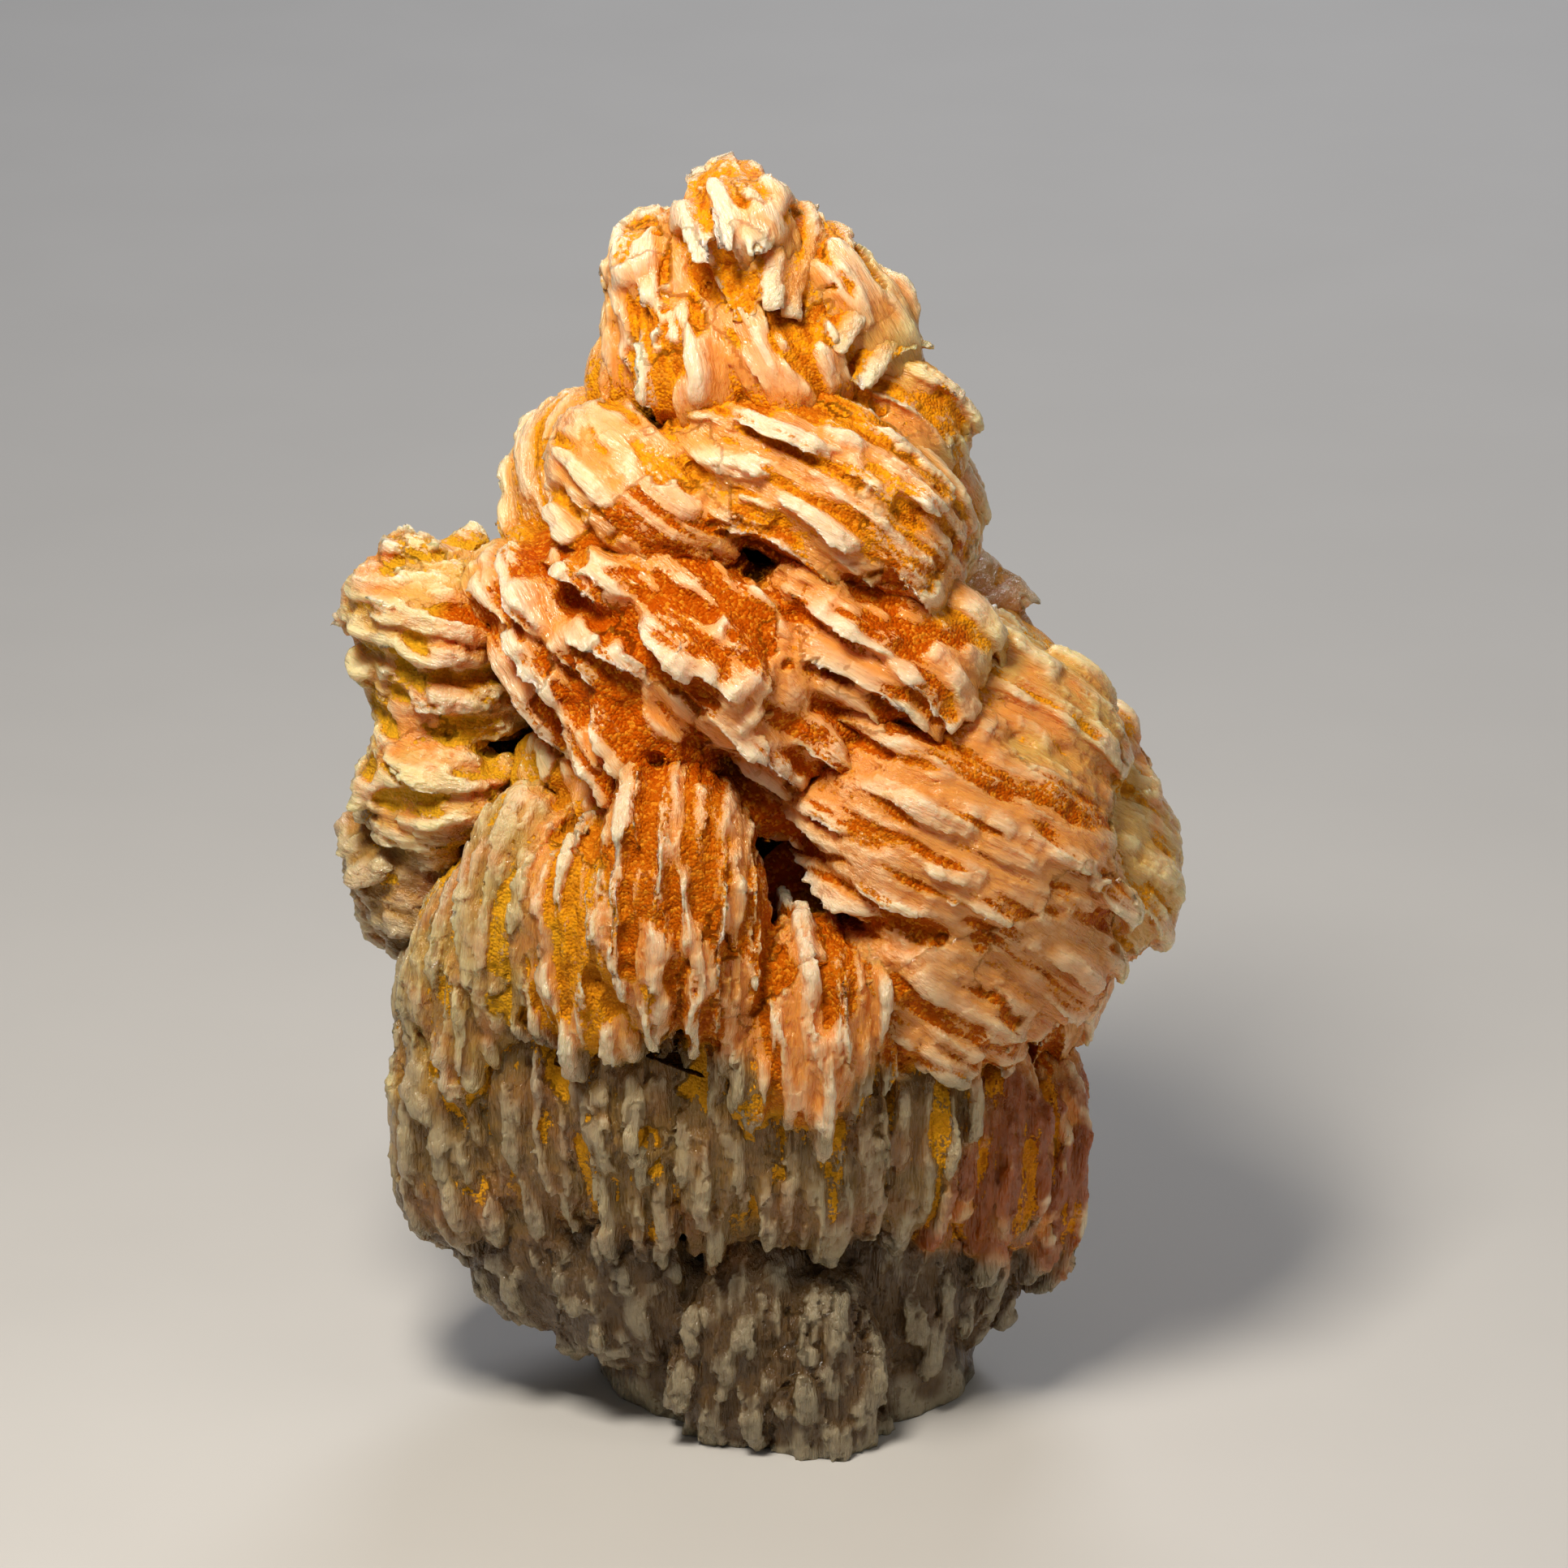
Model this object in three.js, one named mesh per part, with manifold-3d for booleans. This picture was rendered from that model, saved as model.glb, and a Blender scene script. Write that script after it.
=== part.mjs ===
// A cluster of cerussite in crested sprays, dusted with orange mimetite, as one grown-together mineral.
// Millimetres, +Z up. The origin is on the flat broken base, and the display side faces -Y.
// Every spray is a fan of wedge-shaped blades that share a root inside the body and part towards their rims.
import * as THREE from "three";
import { mergeVertices } from "three/addons/utils/BufferGeometryUtils.js";
import Module from "manifold-3d";

const wasm = await Module();
wasm.setup();

// A blade's rim: its points, how full its outline is, how ragged, and its share of the pitch where grooves are open
const RIM_POINTS = 6;
const RIM_FULLNESS = 0.6;
const RIM_ROUGHNESS = 0.13;
const OPEN_RIM_SHARE = 0.4;

// A spray: blade pitch on each side, how narrow the shared root is, and how the outer blades shrink and turn
const FRONT_PITCH = 3.5;
const BACK_PITCH = 5.4;
const MIN_BLADES = 2;
const GROOVE_DEPTH = 3.6;
const ROOT_SPREAD = 0.5;
const REACH_FALL = 0.16;
const HALF_FALL = 0.36;
const TWIST_DEG = 8;

// The cut that makes the flat base, and the tolerance to which tiny slivers are merged away
const CUT_SIZE = 200;
const SLIVER = 0.2;

const CERUSSITE_COLOUR = "#e3d3bb";
const CERUSSITE_ROUGHNESS = 0.45;

const radians = THREE.MathUtils.degToRad;

// One row for each spray: name, the crest point, then where it grows and how large it is.
// facing turns from the display side towards +X, lift is above the horizon, and slope is how steeply
// the ridges run down to the right. reach is root to crest, half is half a ridge, spread half the stack.
// relief is how open the grooves are: 1 is separate blades, 0.3 a smooth lobe.
function spray(name, at, facing, lift, slope, reach, half, spread, relief = 1) {
  return { name, at, facing, lift, slope, reach, half, spread, relief };
}

const CREST = [
  spray("peak", [-1.3, 0.5, 76.8], -4, 62, 66, 14, 6, 3.3, 0.8),
  spray("left_knob", [-7.5, -1, 72.5], -15, 56, 72, 12, 5, 3, 0.9),
  spray("right_shoulder", [4, 0, 70.5], 25, 50, 62, 12, 6.5, 3.4),
  spray("front_centre", [0.5, -5, 69], 5, 36, 64, 10, 5, 3.8),
  spray("front_left", [-6, -5, 67.5], -12, 28, 72, 9, 5, 3.2),
  spray("right_edge", [8, 0.5, 65], 48, 20, 64, 10, 6, 3),
  spray("left_edge", [-9.6, 1, 66], -55, 20, 78, 9, 5.5, 2.6),
];

const UPPER_TIER = [
  spray("dome", [2.5, -9, 64], 5, 46, 32, 13, 10.5, 5, 0.7),
  spray("left_lobe", [-10, -8.5, 62], -28, 34, 28, 12, 7, 4, 0.35),
  spray("under_lobe", [-8, -10, 58], -12, 2, 34, 9, 6, 3),
  spray("right_flank", [9, -7, 58], 32, 14, 38, 12, 7.5, 4.2, 0.6),
  spray("back_ridge", [6, -2, 66], 18, 60, 30, 10, 7.5, 3.2, 0.8),
  spray("right_wall", [12.8, 1, 55], 72, 4, 54, 10, 6.5, 4.4, 0.5),
  spray("left_wall", [-15.5, 0, 58.5], -75, 14, 44, 12, 6.5, 4.2, 0.6),
];

const MIDDLE_TIER = [
  spray("left_fan", [-14.5, -9, 52.5], -34, 18, 44, 11, 7, 4.8),
  spray("centre_fan", [-4.5, -13, 54.5], -5, 34, 36, 13, 9.5, 5.2),
  spray("right_fan", [7, -11, 55], 12, 40, 38, 12, 8.5, 4.4),
  spray("low_left", [-9.5, -14, 48], -14, 4, 50, 9, 6, 4),
  spray("low_centre", [1.5, -13.5, 48], 4, 12, 38, 9, 6.5, 3.6),
  spray("cavity_fan", [-1.5, -11, 42], 0, 0, 46, 8, 5, 3),
];

const RIGHT_SIDE = [
  spray("long_ridge", [14.5, -7, 49], 32, 40, 38, 13, 10.5, 4.2, 0.5),
  spray("great_fan", [13.5, -14.5, 40.5], 22, 12, 33, 14, 11, 7.2),
  spray("outer_lobe", [24, -3, 35.2], 62, 8, 42, 13, 7.5, 6.2, 0.7),
  spray("ridge_bump", [21, 1, 43], 50, 46, 40, 9, 4, 2.8, 0.4),
  spray("under_fan", [17, -12, 32], 32, -8, 38, 12, 8.5, 4.2),
  spray("hanging_fan", [11, -14.5, 28.5], 14, -18, 38, 10, 7, 4.2),
  spray("low_edge", [21, -3, 26.5], 66, -8, 62, 11, 6.5, 3.8),
  spray("amber_near", [15.5, -9, 18], 38, -2, 90, 9, 8, 3.4, 0.7),
  spray("amber_far", [19.8, -3, 15.5], 66, -2, 88, 10, 8.5, 3.8, 0.8),
];

const LEFT_PILLAR = [
  spray("shelf", [-24, -5, 52], -44, 20, 2, 11, 6, 3, 0.8),
  spray("shelf_knob", [-20, -1, 54.5], -25, 62, 12, 9, 3.4, 2.8, 0.5),
  spray("upper_layers", [-24.7, -3.5, 46], -60, 0, 4, 10, 5.5, 4.2, 0.7),
  spray("lens", [-23, -7.5, 40.5], -38, 0, 0, 9, 5, 3.2, 0.8),
  spray("lower_layers", [-25.8, -2, 34], -64, 0, 2, 10, 6, 5.2),
];

const FRONT_FANS = [
  spray("left_prism", [-17.5, -14, 36], -28, 10, 92, 10, 7.5, 3, 0.7),
  spray("left_blades", [-21, -10.5, 31], -50, 6, 94, 10, 7.5, 3.2),
  spray("left_flute", [-22.3, -7, 23.5], -64, 0, 90, 10, 8, 4),
  spray("great_ribs", [-6, -18.5, 38], -3, 10, 90, 13, 8.5, 5),
  spray("left_ribs", [-12.5, -16.8, 34.5], -24, 2, 88, 10, 7, 3.4),
  spray("right_ribs", [-1.5, -17, 34], 18, 0, 92, 10, 6.5, 2.8),
  spray("small_ribs", [3, -18, 29], 8, 2, 90, 11, 7, 3.8),
];

const CURTAIN = [
  spray("curtain_edge", [-22, -6.5, 17], -62, -4, 90, 10, 7.5, 4.6),
  spray("curtain_left", [-16, -12.5, 21.5], -32, -2, 90, 10, 9, 4.4),
  spray("curtain_mid_left", [-9.5, -15.8, 21.5], -14, -2, 90, 10, 9.5, 4.2),
  spray("curtain_middle", [-2.5, -16.8, 21], 0, -2, 90, 10, 9, 4.2),
  spray("curtain_mid_right", [4, -16.5, 19.5], 10, -2, 90, 10, 8, 4),
  spray("curtain_right", [10, -13.8, 20.5], 24, -2, 90, 10, 8.5, 4),
];

const FOOT = [
  spray("foot_edge_left", [-19, -2, 11], -70, -24, 90, 10, 6.5, 4.6),
  spray("foot_left", [-15.5, -6.5, 9], -46, -26, 90, 10, 6.5, 4.6),
  spray("foot_mid_left", [-9, -9, 8], -22, -22, 90, 9, 7, 4.6),
  spray("foot_middle", [-2, -13.5, 5], -4, -6, 90, 10, 9, 3.2),
  spray("foot_tip", [3, -14.2, 3.5], 4, -4, 90, 11, 9, 2.8),
  spray("foot_right", [9, -9.5, 7.5], 24, -10, 90, 9, 9, 4.4),
  spray("foot_edge", [15.5, -4.5, 8], 58, -14, 90, 10, 9, 4.6),
];

const BACK = [
  spray("back_peak", [-1, 6, 73.5], 175, 45, 62, 10, 6.5, 4),
  spray("back_crest_left", [-7, 7, 66], 205, 20, 66, 10, 7, 3.8),
  spray("back_crest_right", [5, 7, 66], 155, 22, 60, 10, 7, 3.8),
  spray("back_dome", [1, 13, 58.5], 178, 26, 34, 12, 10, 5.2),
  spray("back_dome_left", [-10.5, 9, 56.5], 225, 12, 36, 11, 7.5, 4.6),
  spray("back_dome_right", [10, 9, 56.5], 130, 14, 40, 11, 7.5, 4.6),
  spray("back_fan_left", [-18, 9, 46], 236, 8, 30, 12, 8.5, 5.2),
  spray("back_fan_middle", [-4, 17, 46], 188, 12, 38, 13, 10, 6),
  spray("back_fan_right", [12, 15, 45], 142, 14, 40, 13, 9.5, 5.6),
  spray("back_outer_lobe", [21.5, 8, 38], 108, 8, 42, 12, 8, 5.4),
  spray("back_ribs_left", [-20.5, 9.5, 31], 240, 0, 84, 11, 9, 5.4),
  spray("back_ribs_middle", [-8, 18.5, 31], 200, 2, 88, 12, 9.5, 6),
  spray("back_ribs_right", [5, 19, 29.5], 170, 2, 92, 12, 9.5, 6),
  spray("back_ribs_edge", [17, 12, 28], 128, 0, 90, 11, 9, 5.4),
  spray("back_curtain_left", [-17.5, 8.5, 15], 240, -12, 90, 10, 9, 5.4),
  spray("back_curtain_middle", [-7, 15, 13.5], 205, -12, 90, 10, 9.5, 5.6),
  spray("back_curtain_right", [5, 15, 13.5], 160, -12, 90, 10, 9.5, 5.6),
  spray("back_curtain_edge", [15, 8.5, 14.5], 120, -12, 90, 10, 9, 5.4),
  spray("back_foot_left", [-9.5, 8.5, 5], 238, -16, 90, 9, 8, 5.4),
  spray("back_foot_middle", [0, 12, 4.5], 182, -16, 90, 9, 8, 5.6),
  spray("back_foot_right", [10.5, 8, 5], 126, -16, 90, 9, 8, 5.4),
];

const FRONT = [CREST, UPPER_TIER, MIDDLE_TIER, RIGHT_SIDE, LEFT_PILLAR, FRONT_FANS, CURTAIN, FOOT].flat();

// The solid heart that the sprays grow from: centre and half sizes of each lump
const LUMPS = [
  { at: [1, 0, 2], size: [12, 10, 8] },
  { at: [-1.5, 1, 14], size: [18, 13, 13] },
  { at: [-2, 1, 29], size: [20, 15.5, 13] },
  { at: [3, 1, 40], size: [18, 11.5, 11] },
  { at: [-17, -1, 42], size: [6, 6, 12] },
  { at: [-1, 0, 52], size: [13, 11, 9] },
  { at: [0, 1, 63], size: [9, 7, 8] },
];
const LUMP_DETAIL = 1;

// A repeatable value from -1 to 1 for each seed.
function wobble(seed) {
  const value = Math.sin(seed * 12.9898) * 43758.5453;
  return 2 * (value - Math.floor(value)) - 1;
}

// Turns a closed three.js geometry into a solid for joining.
function solidOf(geometry) {
  const bare = geometry.index ? geometry.toNonIndexed() : geometry.clone();
  const positions = new THREE.BufferGeometry().setAttribute("position", bare.getAttribute("position"));
  const merged = mergeVertices(positions, 1e-4);
  return new wasm.Manifold(
    new wasm.Mesh({
      numProp: 3,
      vertProperties: merged.attributes.position.array,
      triVerts: new Uint32Array(merged.index.array),
    }),
  );
}

// One blade: a crested outline across X with its root at Y 0, thick at the root and thin at the rim.
function bladeGeometry(half, reach, rootThickness, rimThickness, seed) {
  const points = Array.from({ length: RIM_POINTS }, (_, k) => {
    const angle = (Math.PI * k) / (RIM_POINTS - 1);
    const across = half * Math.cos(angle) * (1 + RIM_ROUGHNESS * wobble(seed + 3 * k));
    const outward = reach * Math.pow(Math.sin(angle), RIM_FULLNESS);
    return new THREE.Vector2(across, outward * (1 + RIM_ROUGHNESS * wobble(seed + 3 * k + 1)));
  });
  const geometry = new THREE.ExtrudeGeometry(new THREE.Shape(points), { depth: 1, bevelEnabled: false });
  const position = geometry.getAttribute("position");
  for (let i = 0; i < position.count; i++) {
    const share = position.getY(i) / reach;
    const thickness = THREE.MathUtils.lerp(rootThickness, rimThickness, share);
    position.setZ(i, (position.getZ(i) - 0.5) * thickness);
  }
  return geometry;
}

// The growth frame of a spray: ridge runs along the rims, growth points out, stack crosses the blades.
function growthFrame({ facing, lift, slope }) {
  const turn = radians(facing);
  const rise = radians(lift);
  const growth = new THREE.Vector3(
    Math.cos(rise) * Math.sin(turn),
    -Math.cos(rise) * Math.cos(turn),
    Math.sin(rise),
  );
  const east = new THREE.Vector3(Math.cos(turn), Math.sin(turn), 0);
  const up = new THREE.Vector3().crossVectors(growth, east);
  const ridge = east.multiplyScalar(Math.cos(radians(slope))).addScaledVector(up, -Math.sin(radians(slope)));
  return { ridge, growth, stack: new THREE.Vector3().crossVectors(ridge, growth) };
}

// The blades of one spray as solids, splayed about the ridge direction from a narrow root.
function spraySolids(row, index, pitch) {
  const { ridge, growth, stack } = growthFrame(row);
  const count = Math.max(MIN_BLADES, Math.round((2 * row.spread) / pitch) + 1);
  const rootSpread = row.spread * ROOT_SPREAD;
  const splay = Math.asin(Math.min(0.95, (row.spread - rootSpread) / row.reach));
  const rimPitch = (2 * row.spread) / (count - 1);
  const rootPitch = (2 * rootSpread) / (count - 1);
  const grooveShare = 1 - GROOVE_DEPTH / row.reach;
  const groovePitch = THREE.MathUtils.lerp(rootPitch, rimPitch, grooveShare);
  const rimThickness = rimPitch * THREE.MathUtils.lerp(1, OPEN_RIM_SHARE, row.relief);
  const rootThickness = groovePitch + ((groovePitch - rimThickness) * grooveShare) / (1 - grooveShare);
  const root = new THREE.Vector3(...row.at).addScaledVector(growth, -row.reach);
  return Array.from({ length: count }, (_, i) => {
    const seed = 17 * index + 5 * i + 1;
    const place = (2 * i) / (count - 1) - 1;
    const angle = place * splay + radians(TWIST_DEG) * 0.5 * wobble(seed + 0.3);
    const outward = growth.clone().multiplyScalar(Math.cos(angle)).addScaledVector(stack, Math.sin(angle));
    const twist = radians(TWIST_DEG) * wobble(seed + 0.6);
    const along = ridge.clone().applyAxisAngle(outward, twist);
    const across = new THREE.Vector3().crossVectors(along, outward);
    const origin = root.clone().addScaledVector(stack, place * rootSpread);
    const reach = row.reach * (1 - REACH_FALL * place * place + 0.07 * wobble(seed + 0.8));
    const half = row.half * (1 - HALF_FALL * place * place + 0.08 * wobble(seed + 0.9));
    const frame = new THREE.Matrix4().makeBasis(along, outward, across).setPosition(origin);
    return solidOf(bladeGeometry(half, reach, rootThickness, rimThickness, seed).applyMatrix4(frame));
  });
}

// One rounded lump of the heart.
function lumpSolid({ at, size }) {
  const geometry = new THREE.IcosahedronGeometry(1, LUMP_DETAIL);
  return solidOf(geometry.scale(...size).translate(...at));
}

// Joins solids in pairs, which keeps each join small.
function joined(solids) {
  let level = solids;
  while (level.length > 1) {
    const next = [];
    for (let i = 0; i < level.length; i += 2) {
      next.push(i + 1 < level.length ? level[i].add(level[i + 1]) : level[i]);
    }
    level = next;
  }
  return level[0];
}

// The outer skin alone, so that no sealed gap between blades is left inside.
function outerBody(solid) {
  return solid.decompose().reduce((best, body) => (body.volume() > best.volume() ? body : best));
}

// The whole cluster, cut flat where it broke off its bed.
function clusterSolid() {
  const front = FRONT.flatMap((row, index) => spraySolids(row, index, FRONT_PITCH));
  const back = BACK.flatMap((row, index) => spraySolids(row, FRONT.length + index, BACK_PITCH));
  const grown = joined([...LUMPS.map(lumpSolid), ...front, ...back]);
  const cutter = new THREE.BoxGeometry(CUT_SIZE, CUT_SIZE, CUT_SIZE).translate(0, 0, -CUT_SIZE / 2);
  return outerBody(grown.subtract(solidOf(cutter)).simplify(SLIVER));
}

// A three.js geometry from a joined solid.
function geometryOf(solid) {
  const mesh = solid.getMesh();
  return new THREE.BufferGeometry()
    .setAttribute("position", new THREE.BufferAttribute(new Float32Array(mesh.vertProperties), 3))
    .setIndex(new THREE.BufferAttribute(new Uint32Array(mesh.triVerts), 1));
}

function cerussiteCluster() {
  const material = new THREE.MeshStandardMaterial({
    color: CERUSSITE_COLOUR,
    roughness: CERUSSITE_ROUGHNESS,
    metalness: 0,
  });
  const mesh = new THREE.Mesh(geometryOf(clusterSolid()), material);
  mesh.name = "cerussite_cluster";
  return mesh;
}

const group = new THREE.Group();
group.add(cerussiteCluster());

export default group;
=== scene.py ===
"""Looks of a crested cerussite cluster with mimetite in its grooves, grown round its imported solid.

Lengths are in millimetres while a crystal group is grown, and each finished mesh is scaled once to metres.
"""

import itertools
import logging
import math
from collections.abc import Iterator
from dataclasses import astuple, dataclass, field, fields
from enum import Enum
from functools import cached_property, partial

import bmesh
import bpy
import numpy as np
from mathutils import Matrix, Vector


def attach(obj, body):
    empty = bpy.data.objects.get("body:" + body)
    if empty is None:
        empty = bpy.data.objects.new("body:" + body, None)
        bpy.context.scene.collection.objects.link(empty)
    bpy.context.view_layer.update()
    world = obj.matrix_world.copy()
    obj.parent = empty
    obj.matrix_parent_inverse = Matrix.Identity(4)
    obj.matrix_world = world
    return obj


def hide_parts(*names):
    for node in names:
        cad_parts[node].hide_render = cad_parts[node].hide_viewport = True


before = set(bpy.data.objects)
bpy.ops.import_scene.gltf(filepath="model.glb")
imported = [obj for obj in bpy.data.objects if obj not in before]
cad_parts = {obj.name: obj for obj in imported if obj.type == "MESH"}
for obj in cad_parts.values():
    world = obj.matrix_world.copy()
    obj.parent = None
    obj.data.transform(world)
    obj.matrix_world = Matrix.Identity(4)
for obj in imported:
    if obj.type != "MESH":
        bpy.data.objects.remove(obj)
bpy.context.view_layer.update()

LOG = logging.getLogger("cluster")
MM = 0.001
NODE = "cerussite_cluster"

# A part of a fused skin under this many cubic millimetres is a crumb or lies inside out, so it is dropped
SPECK = 3.0

# Half the thickness that a spray's outermost blades have beside their row, in millimetres
BLADE_HALF = 1.1

# Neighbouring sprays' grain coordinates lie this far apart, so that their noise differs
GRAIN_STEP = 7.3

# Noise takes its values from tables of this many entries, chosen by these three multipliers
LATTICE = 4096
HASH = np.array([73856093, 19349663, 83492791])


def linear(code: str) -> tuple[float, float, float, float]:
    """Turns an sRGB hex colour into linear light.

    Args:
        code: A colour such as "#f3d9be".

    Returns:
        Linear red, green and blue, with an alpha of 1.
    """
    parts = [int(code[i : i + 2], 16) / 255 for i in (1, 3, 5)]
    light = [c / 12.92 if c <= 0.04045 else ((c + 0.055) / 1.055) ** 2.4 for c in parts]
    return (*light, 1.0)


def wobble(seed: float) -> float:
    """Returns a repeatable value from -1 to 1 for a seed."""
    value = math.sin(seed * 12.9898) * 43758.5453
    return 2 * (value - math.floor(value)) - 1


def ripple(place: np.ndarray, waves: float, seed: float) -> np.ndarray:
    """Draws an irregular wavy line.

    Args:
        place: Positions along the line, from 0 to 1.
        waves: How many of the longest waves fit on the line.
        seed: Chooses the line.

    Returns:
        Heights between about -1 and 1.
    """
    total = np.zeros_like(place)
    for octave in range(3):
        phase = math.pi * wobble(seed + 0.37 * octave)
        rate = waves * (1.0 + 0.83 * octave) * (1 + 0.15 * wobble(seed + 0.11 * octave))
        total += np.sin(2 * math.pi * rate * place + phase) / (1 + octave)
    return total / 1.6


def entries(table: np.ndarray, at: np.ndarray) -> np.ndarray:
    """Returns the table's entry for each lattice point, chosen by a hash of its place."""
    return table[np.bitwise_xor.reduce(at * HASH, axis=1) & (LATTICE - 1)]


def corners(places: np.ndarray, ease: bool = False) -> Iterator[tuple[np.ndarray, np.ndarray]]:
    """Goes through the eight lattice points round each place.

    Args:
        places: One row per place, one lattice cell per unit.
        ease: Whether the weights ease in and out, as noise needs.

    Yields:
        One lattice point per place, and its weight.
    """
    cell = np.floor(places).astype(np.int64)
    part = places - cell
    if ease:
        part = part * part * (3 - 2 * part)
    for corner in range(8):
        step = np.array([corner & 1, corner >> 1 & 1, corner >> 2 & 1])
        yield cell + step, np.prod(np.where(step, part, 1 - part), axis=1)


def value_noise(points: np.ndarray, seed: int) -> np.ndarray:
    """Makes smooth noise on a lattice of random values.

    Args:
        points: One row per point, one lattice cell per unit.
        seed: Chooses the values.

    Returns:
        One value between -1 and 1 per point.
    """
    table = np.random.default_rng(seed).uniform(-1, 1, LATTICE)
    return sum(weight * entries(table, at) for at, weight in corners(points, ease=True))


def facets(points: np.ndarray, seed: int) -> np.ndarray:
    """Breaks space into cells that each have their own height and tilt, as broken crystal faces do.

    Args:
        points: One row per point, one cell per unit.
        seed: Chooses the cells.

    Returns:
        One height between about -1 and 1 per point, with a sharp step or crease from cell to cell.
    """
    table = np.random.default_rng(seed).uniform(-1, 1, (LATTICE, 7))
    cell = np.floor(points).astype(np.int64)
    nearest = np.full(len(points), np.inf)
    height = np.zeros(len(points))
    for step in itertools.product((-1, 0, 1), repeat=3):
        at = cell + np.array(step)
        row = entries(table, at)
        gap = points - at - 0.5 - 0.45 * row[:, :3]
        away = np.einsum("ij,ij->i", gap, gap)
        closer = away < nearest
        nearest[closer] = away[closer]
        tilted = 0.5 * row[:, 3] + np.einsum("ij,ij->i", gap, row[:, 4:])
        height[closer] = tilted[closer]
    return height


def drift(points: np.ndarray, *layers: tuple[float, float, int]) -> np.ndarray:
    """Makes a smooth random shift for each point.

    Args:
        points: Positions in millimetres.
        layers: For each layer of noise, its height and width in millimetres, and its seed.

    Returns:
        One shift per point.
    """
    total = np.zeros_like(points)
    for height, width, seed in layers:
        total += height * np.array([value_noise(points / width, seed + axis) for axis in range(3)]).T
    return total


def warp(points: np.ndarray) -> np.ndarray:
    """Bends flat blades into gently curved ones, with less of it in the lowest 6 mm."""
    hold = np.clip(points[:, 2:] / 6, 0, 1)
    return points + drift(points, (0.6, 8, 10), (0.16, 2.4, 20)) * (0.35 + 0.65 * hold)


def stray(points: np.ndarray) -> np.ndarray:
    """Moves positions by up to 2.5 mm, so that asking for the nearest spray gives ragged borders."""
    return points + drift(points, (1.7, 3.2, 81), (0.8, 0.9, 84))


@dataclass(frozen=True)
class Tint:
    """How a spray is stained: each share runs from 0 to 1.

    druse is how far mimetite covers the grooves, ochre turns it yellow and fire turns it red and also darkens it as
    painted shade, cream yellows the crystal, smoke greys it and also darkens it as painted shade, amber stains it
    through, and lumpy skins carry sugary lumps.
    """

    druse: float
    ochre: float = 0.0
    cream: float = 0.0
    smoke_and_shade: float = 0.0
    amber: float = 0.0
    lumpy: float = 0.0
    fire_and_shade: float = 0.2

    def shares(self) -> np.ndarray:
        """Returns all shares as one row, in the order of CHANNELS."""
        return np.array(astuple(self))


CHANNELS = tuple(share.name for share in fields(Tint))
SHAPE_MARKS = ("hollow", "shelter", "pit", "rough")


class Stain(Enum):
    """The ways that the sprays are stained, from the crest down to the foot; the fire and smoke shares also carry
    painted shade.
    """

    PEACH = Tint(druse=0.66, ochre=0.15, cream=0.1)
    GOLDEN = Tint(druse=0.66, ochre=0.45, cream=0.25)
    LOBE = Tint(druse=0.42, ochre=0.3, cream=0.3)
    FIERY = Tint(druse=0.69, fire_and_shade=1.0)
    RIBS = Tint(druse=0.6, ochre=0.1, cream=0.05, fire_and_shade=0.85)
    CREAM = Tint(druse=0.2, ochre=0.4, cream=0.85)
    FAN = Tint(druse=0.52, ochre=0.03, cream=0.12, fire_and_shade=0.75)
    PALE_FAN = Tint(druse=0.42, ochre=0.05, cream=0.2, smoke_and_shade=0.08, fire_and_shade=0.85)
    OCHRE = Tint(druse=0.5, ochre=1.0, cream=0.8)
    SUGAR = Tint(druse=0.12, ochre=1.0, cream=0.75, smoke_and_shade=0.45, lumpy=1.0)
    PRISM = Tint(druse=0.46, ochre=0.95, cream=1.0, smoke_and_shade=0.35)
    CURTAIN = Tint(druse=0.28, ochre=0.8, cream=0.8, smoke_and_shade=0.72)
    SMOKY = Tint(druse=0.0, ochre=0.8, cream=0.3, smoke_and_shade=0.95, lumpy=0.3)
    AMBER = Tint(druse=0.4, ochre=0.3, cream=0.9, amber=1.0)
    BACK = Tint(druse=0.45, ochre=0.4, cream=0.4, smoke_and_shade=0.1)


@dataclass(frozen=True)
class Habit:
    """How the blades of a spray stand, in millimetres.

    pitch is from one row to the next, length is along the ridge, rim is a blade's thickness, rise is how
    far it stands out of the body, cross is how far it turns out of line in degrees, and skew moves its
    highest point towards the lower end. lean is how far a rim overhangs the next row, as a share of the
    pitch, so that blades overlap like shingles. pit is how deep the lens-shaped pits between the rims
    are, and pit_length and pit_width are their usual size. wave is how much a blade bends.
    rough is how broken its faces are: waxy masses have little of it. fall is how far the outer rows sink,
    which rounds the spray off. arch is 0.5 for a box-like outline and 1 for an even arch, and sag is how
    far the outer rows hang down with the inner ones, which makes a bell of the spray. hem is the arch of
    the lower end, which is square and ragged where it is small.
    """

    pitch: float
    length: float
    rim: float
    rise: float
    cross: float = 5.0
    skew: float = 1.6
    lean: float = 0.5
    pit: float = 0.7
    pit_length: float = 5.0
    pit_width: float = 1.25
    wave: float = 0.6
    rough: float = 1.0
    fall: float = 0.16
    arch: float = 0.55
    sag: float = 0.0
    hem: float = 0.55


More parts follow.
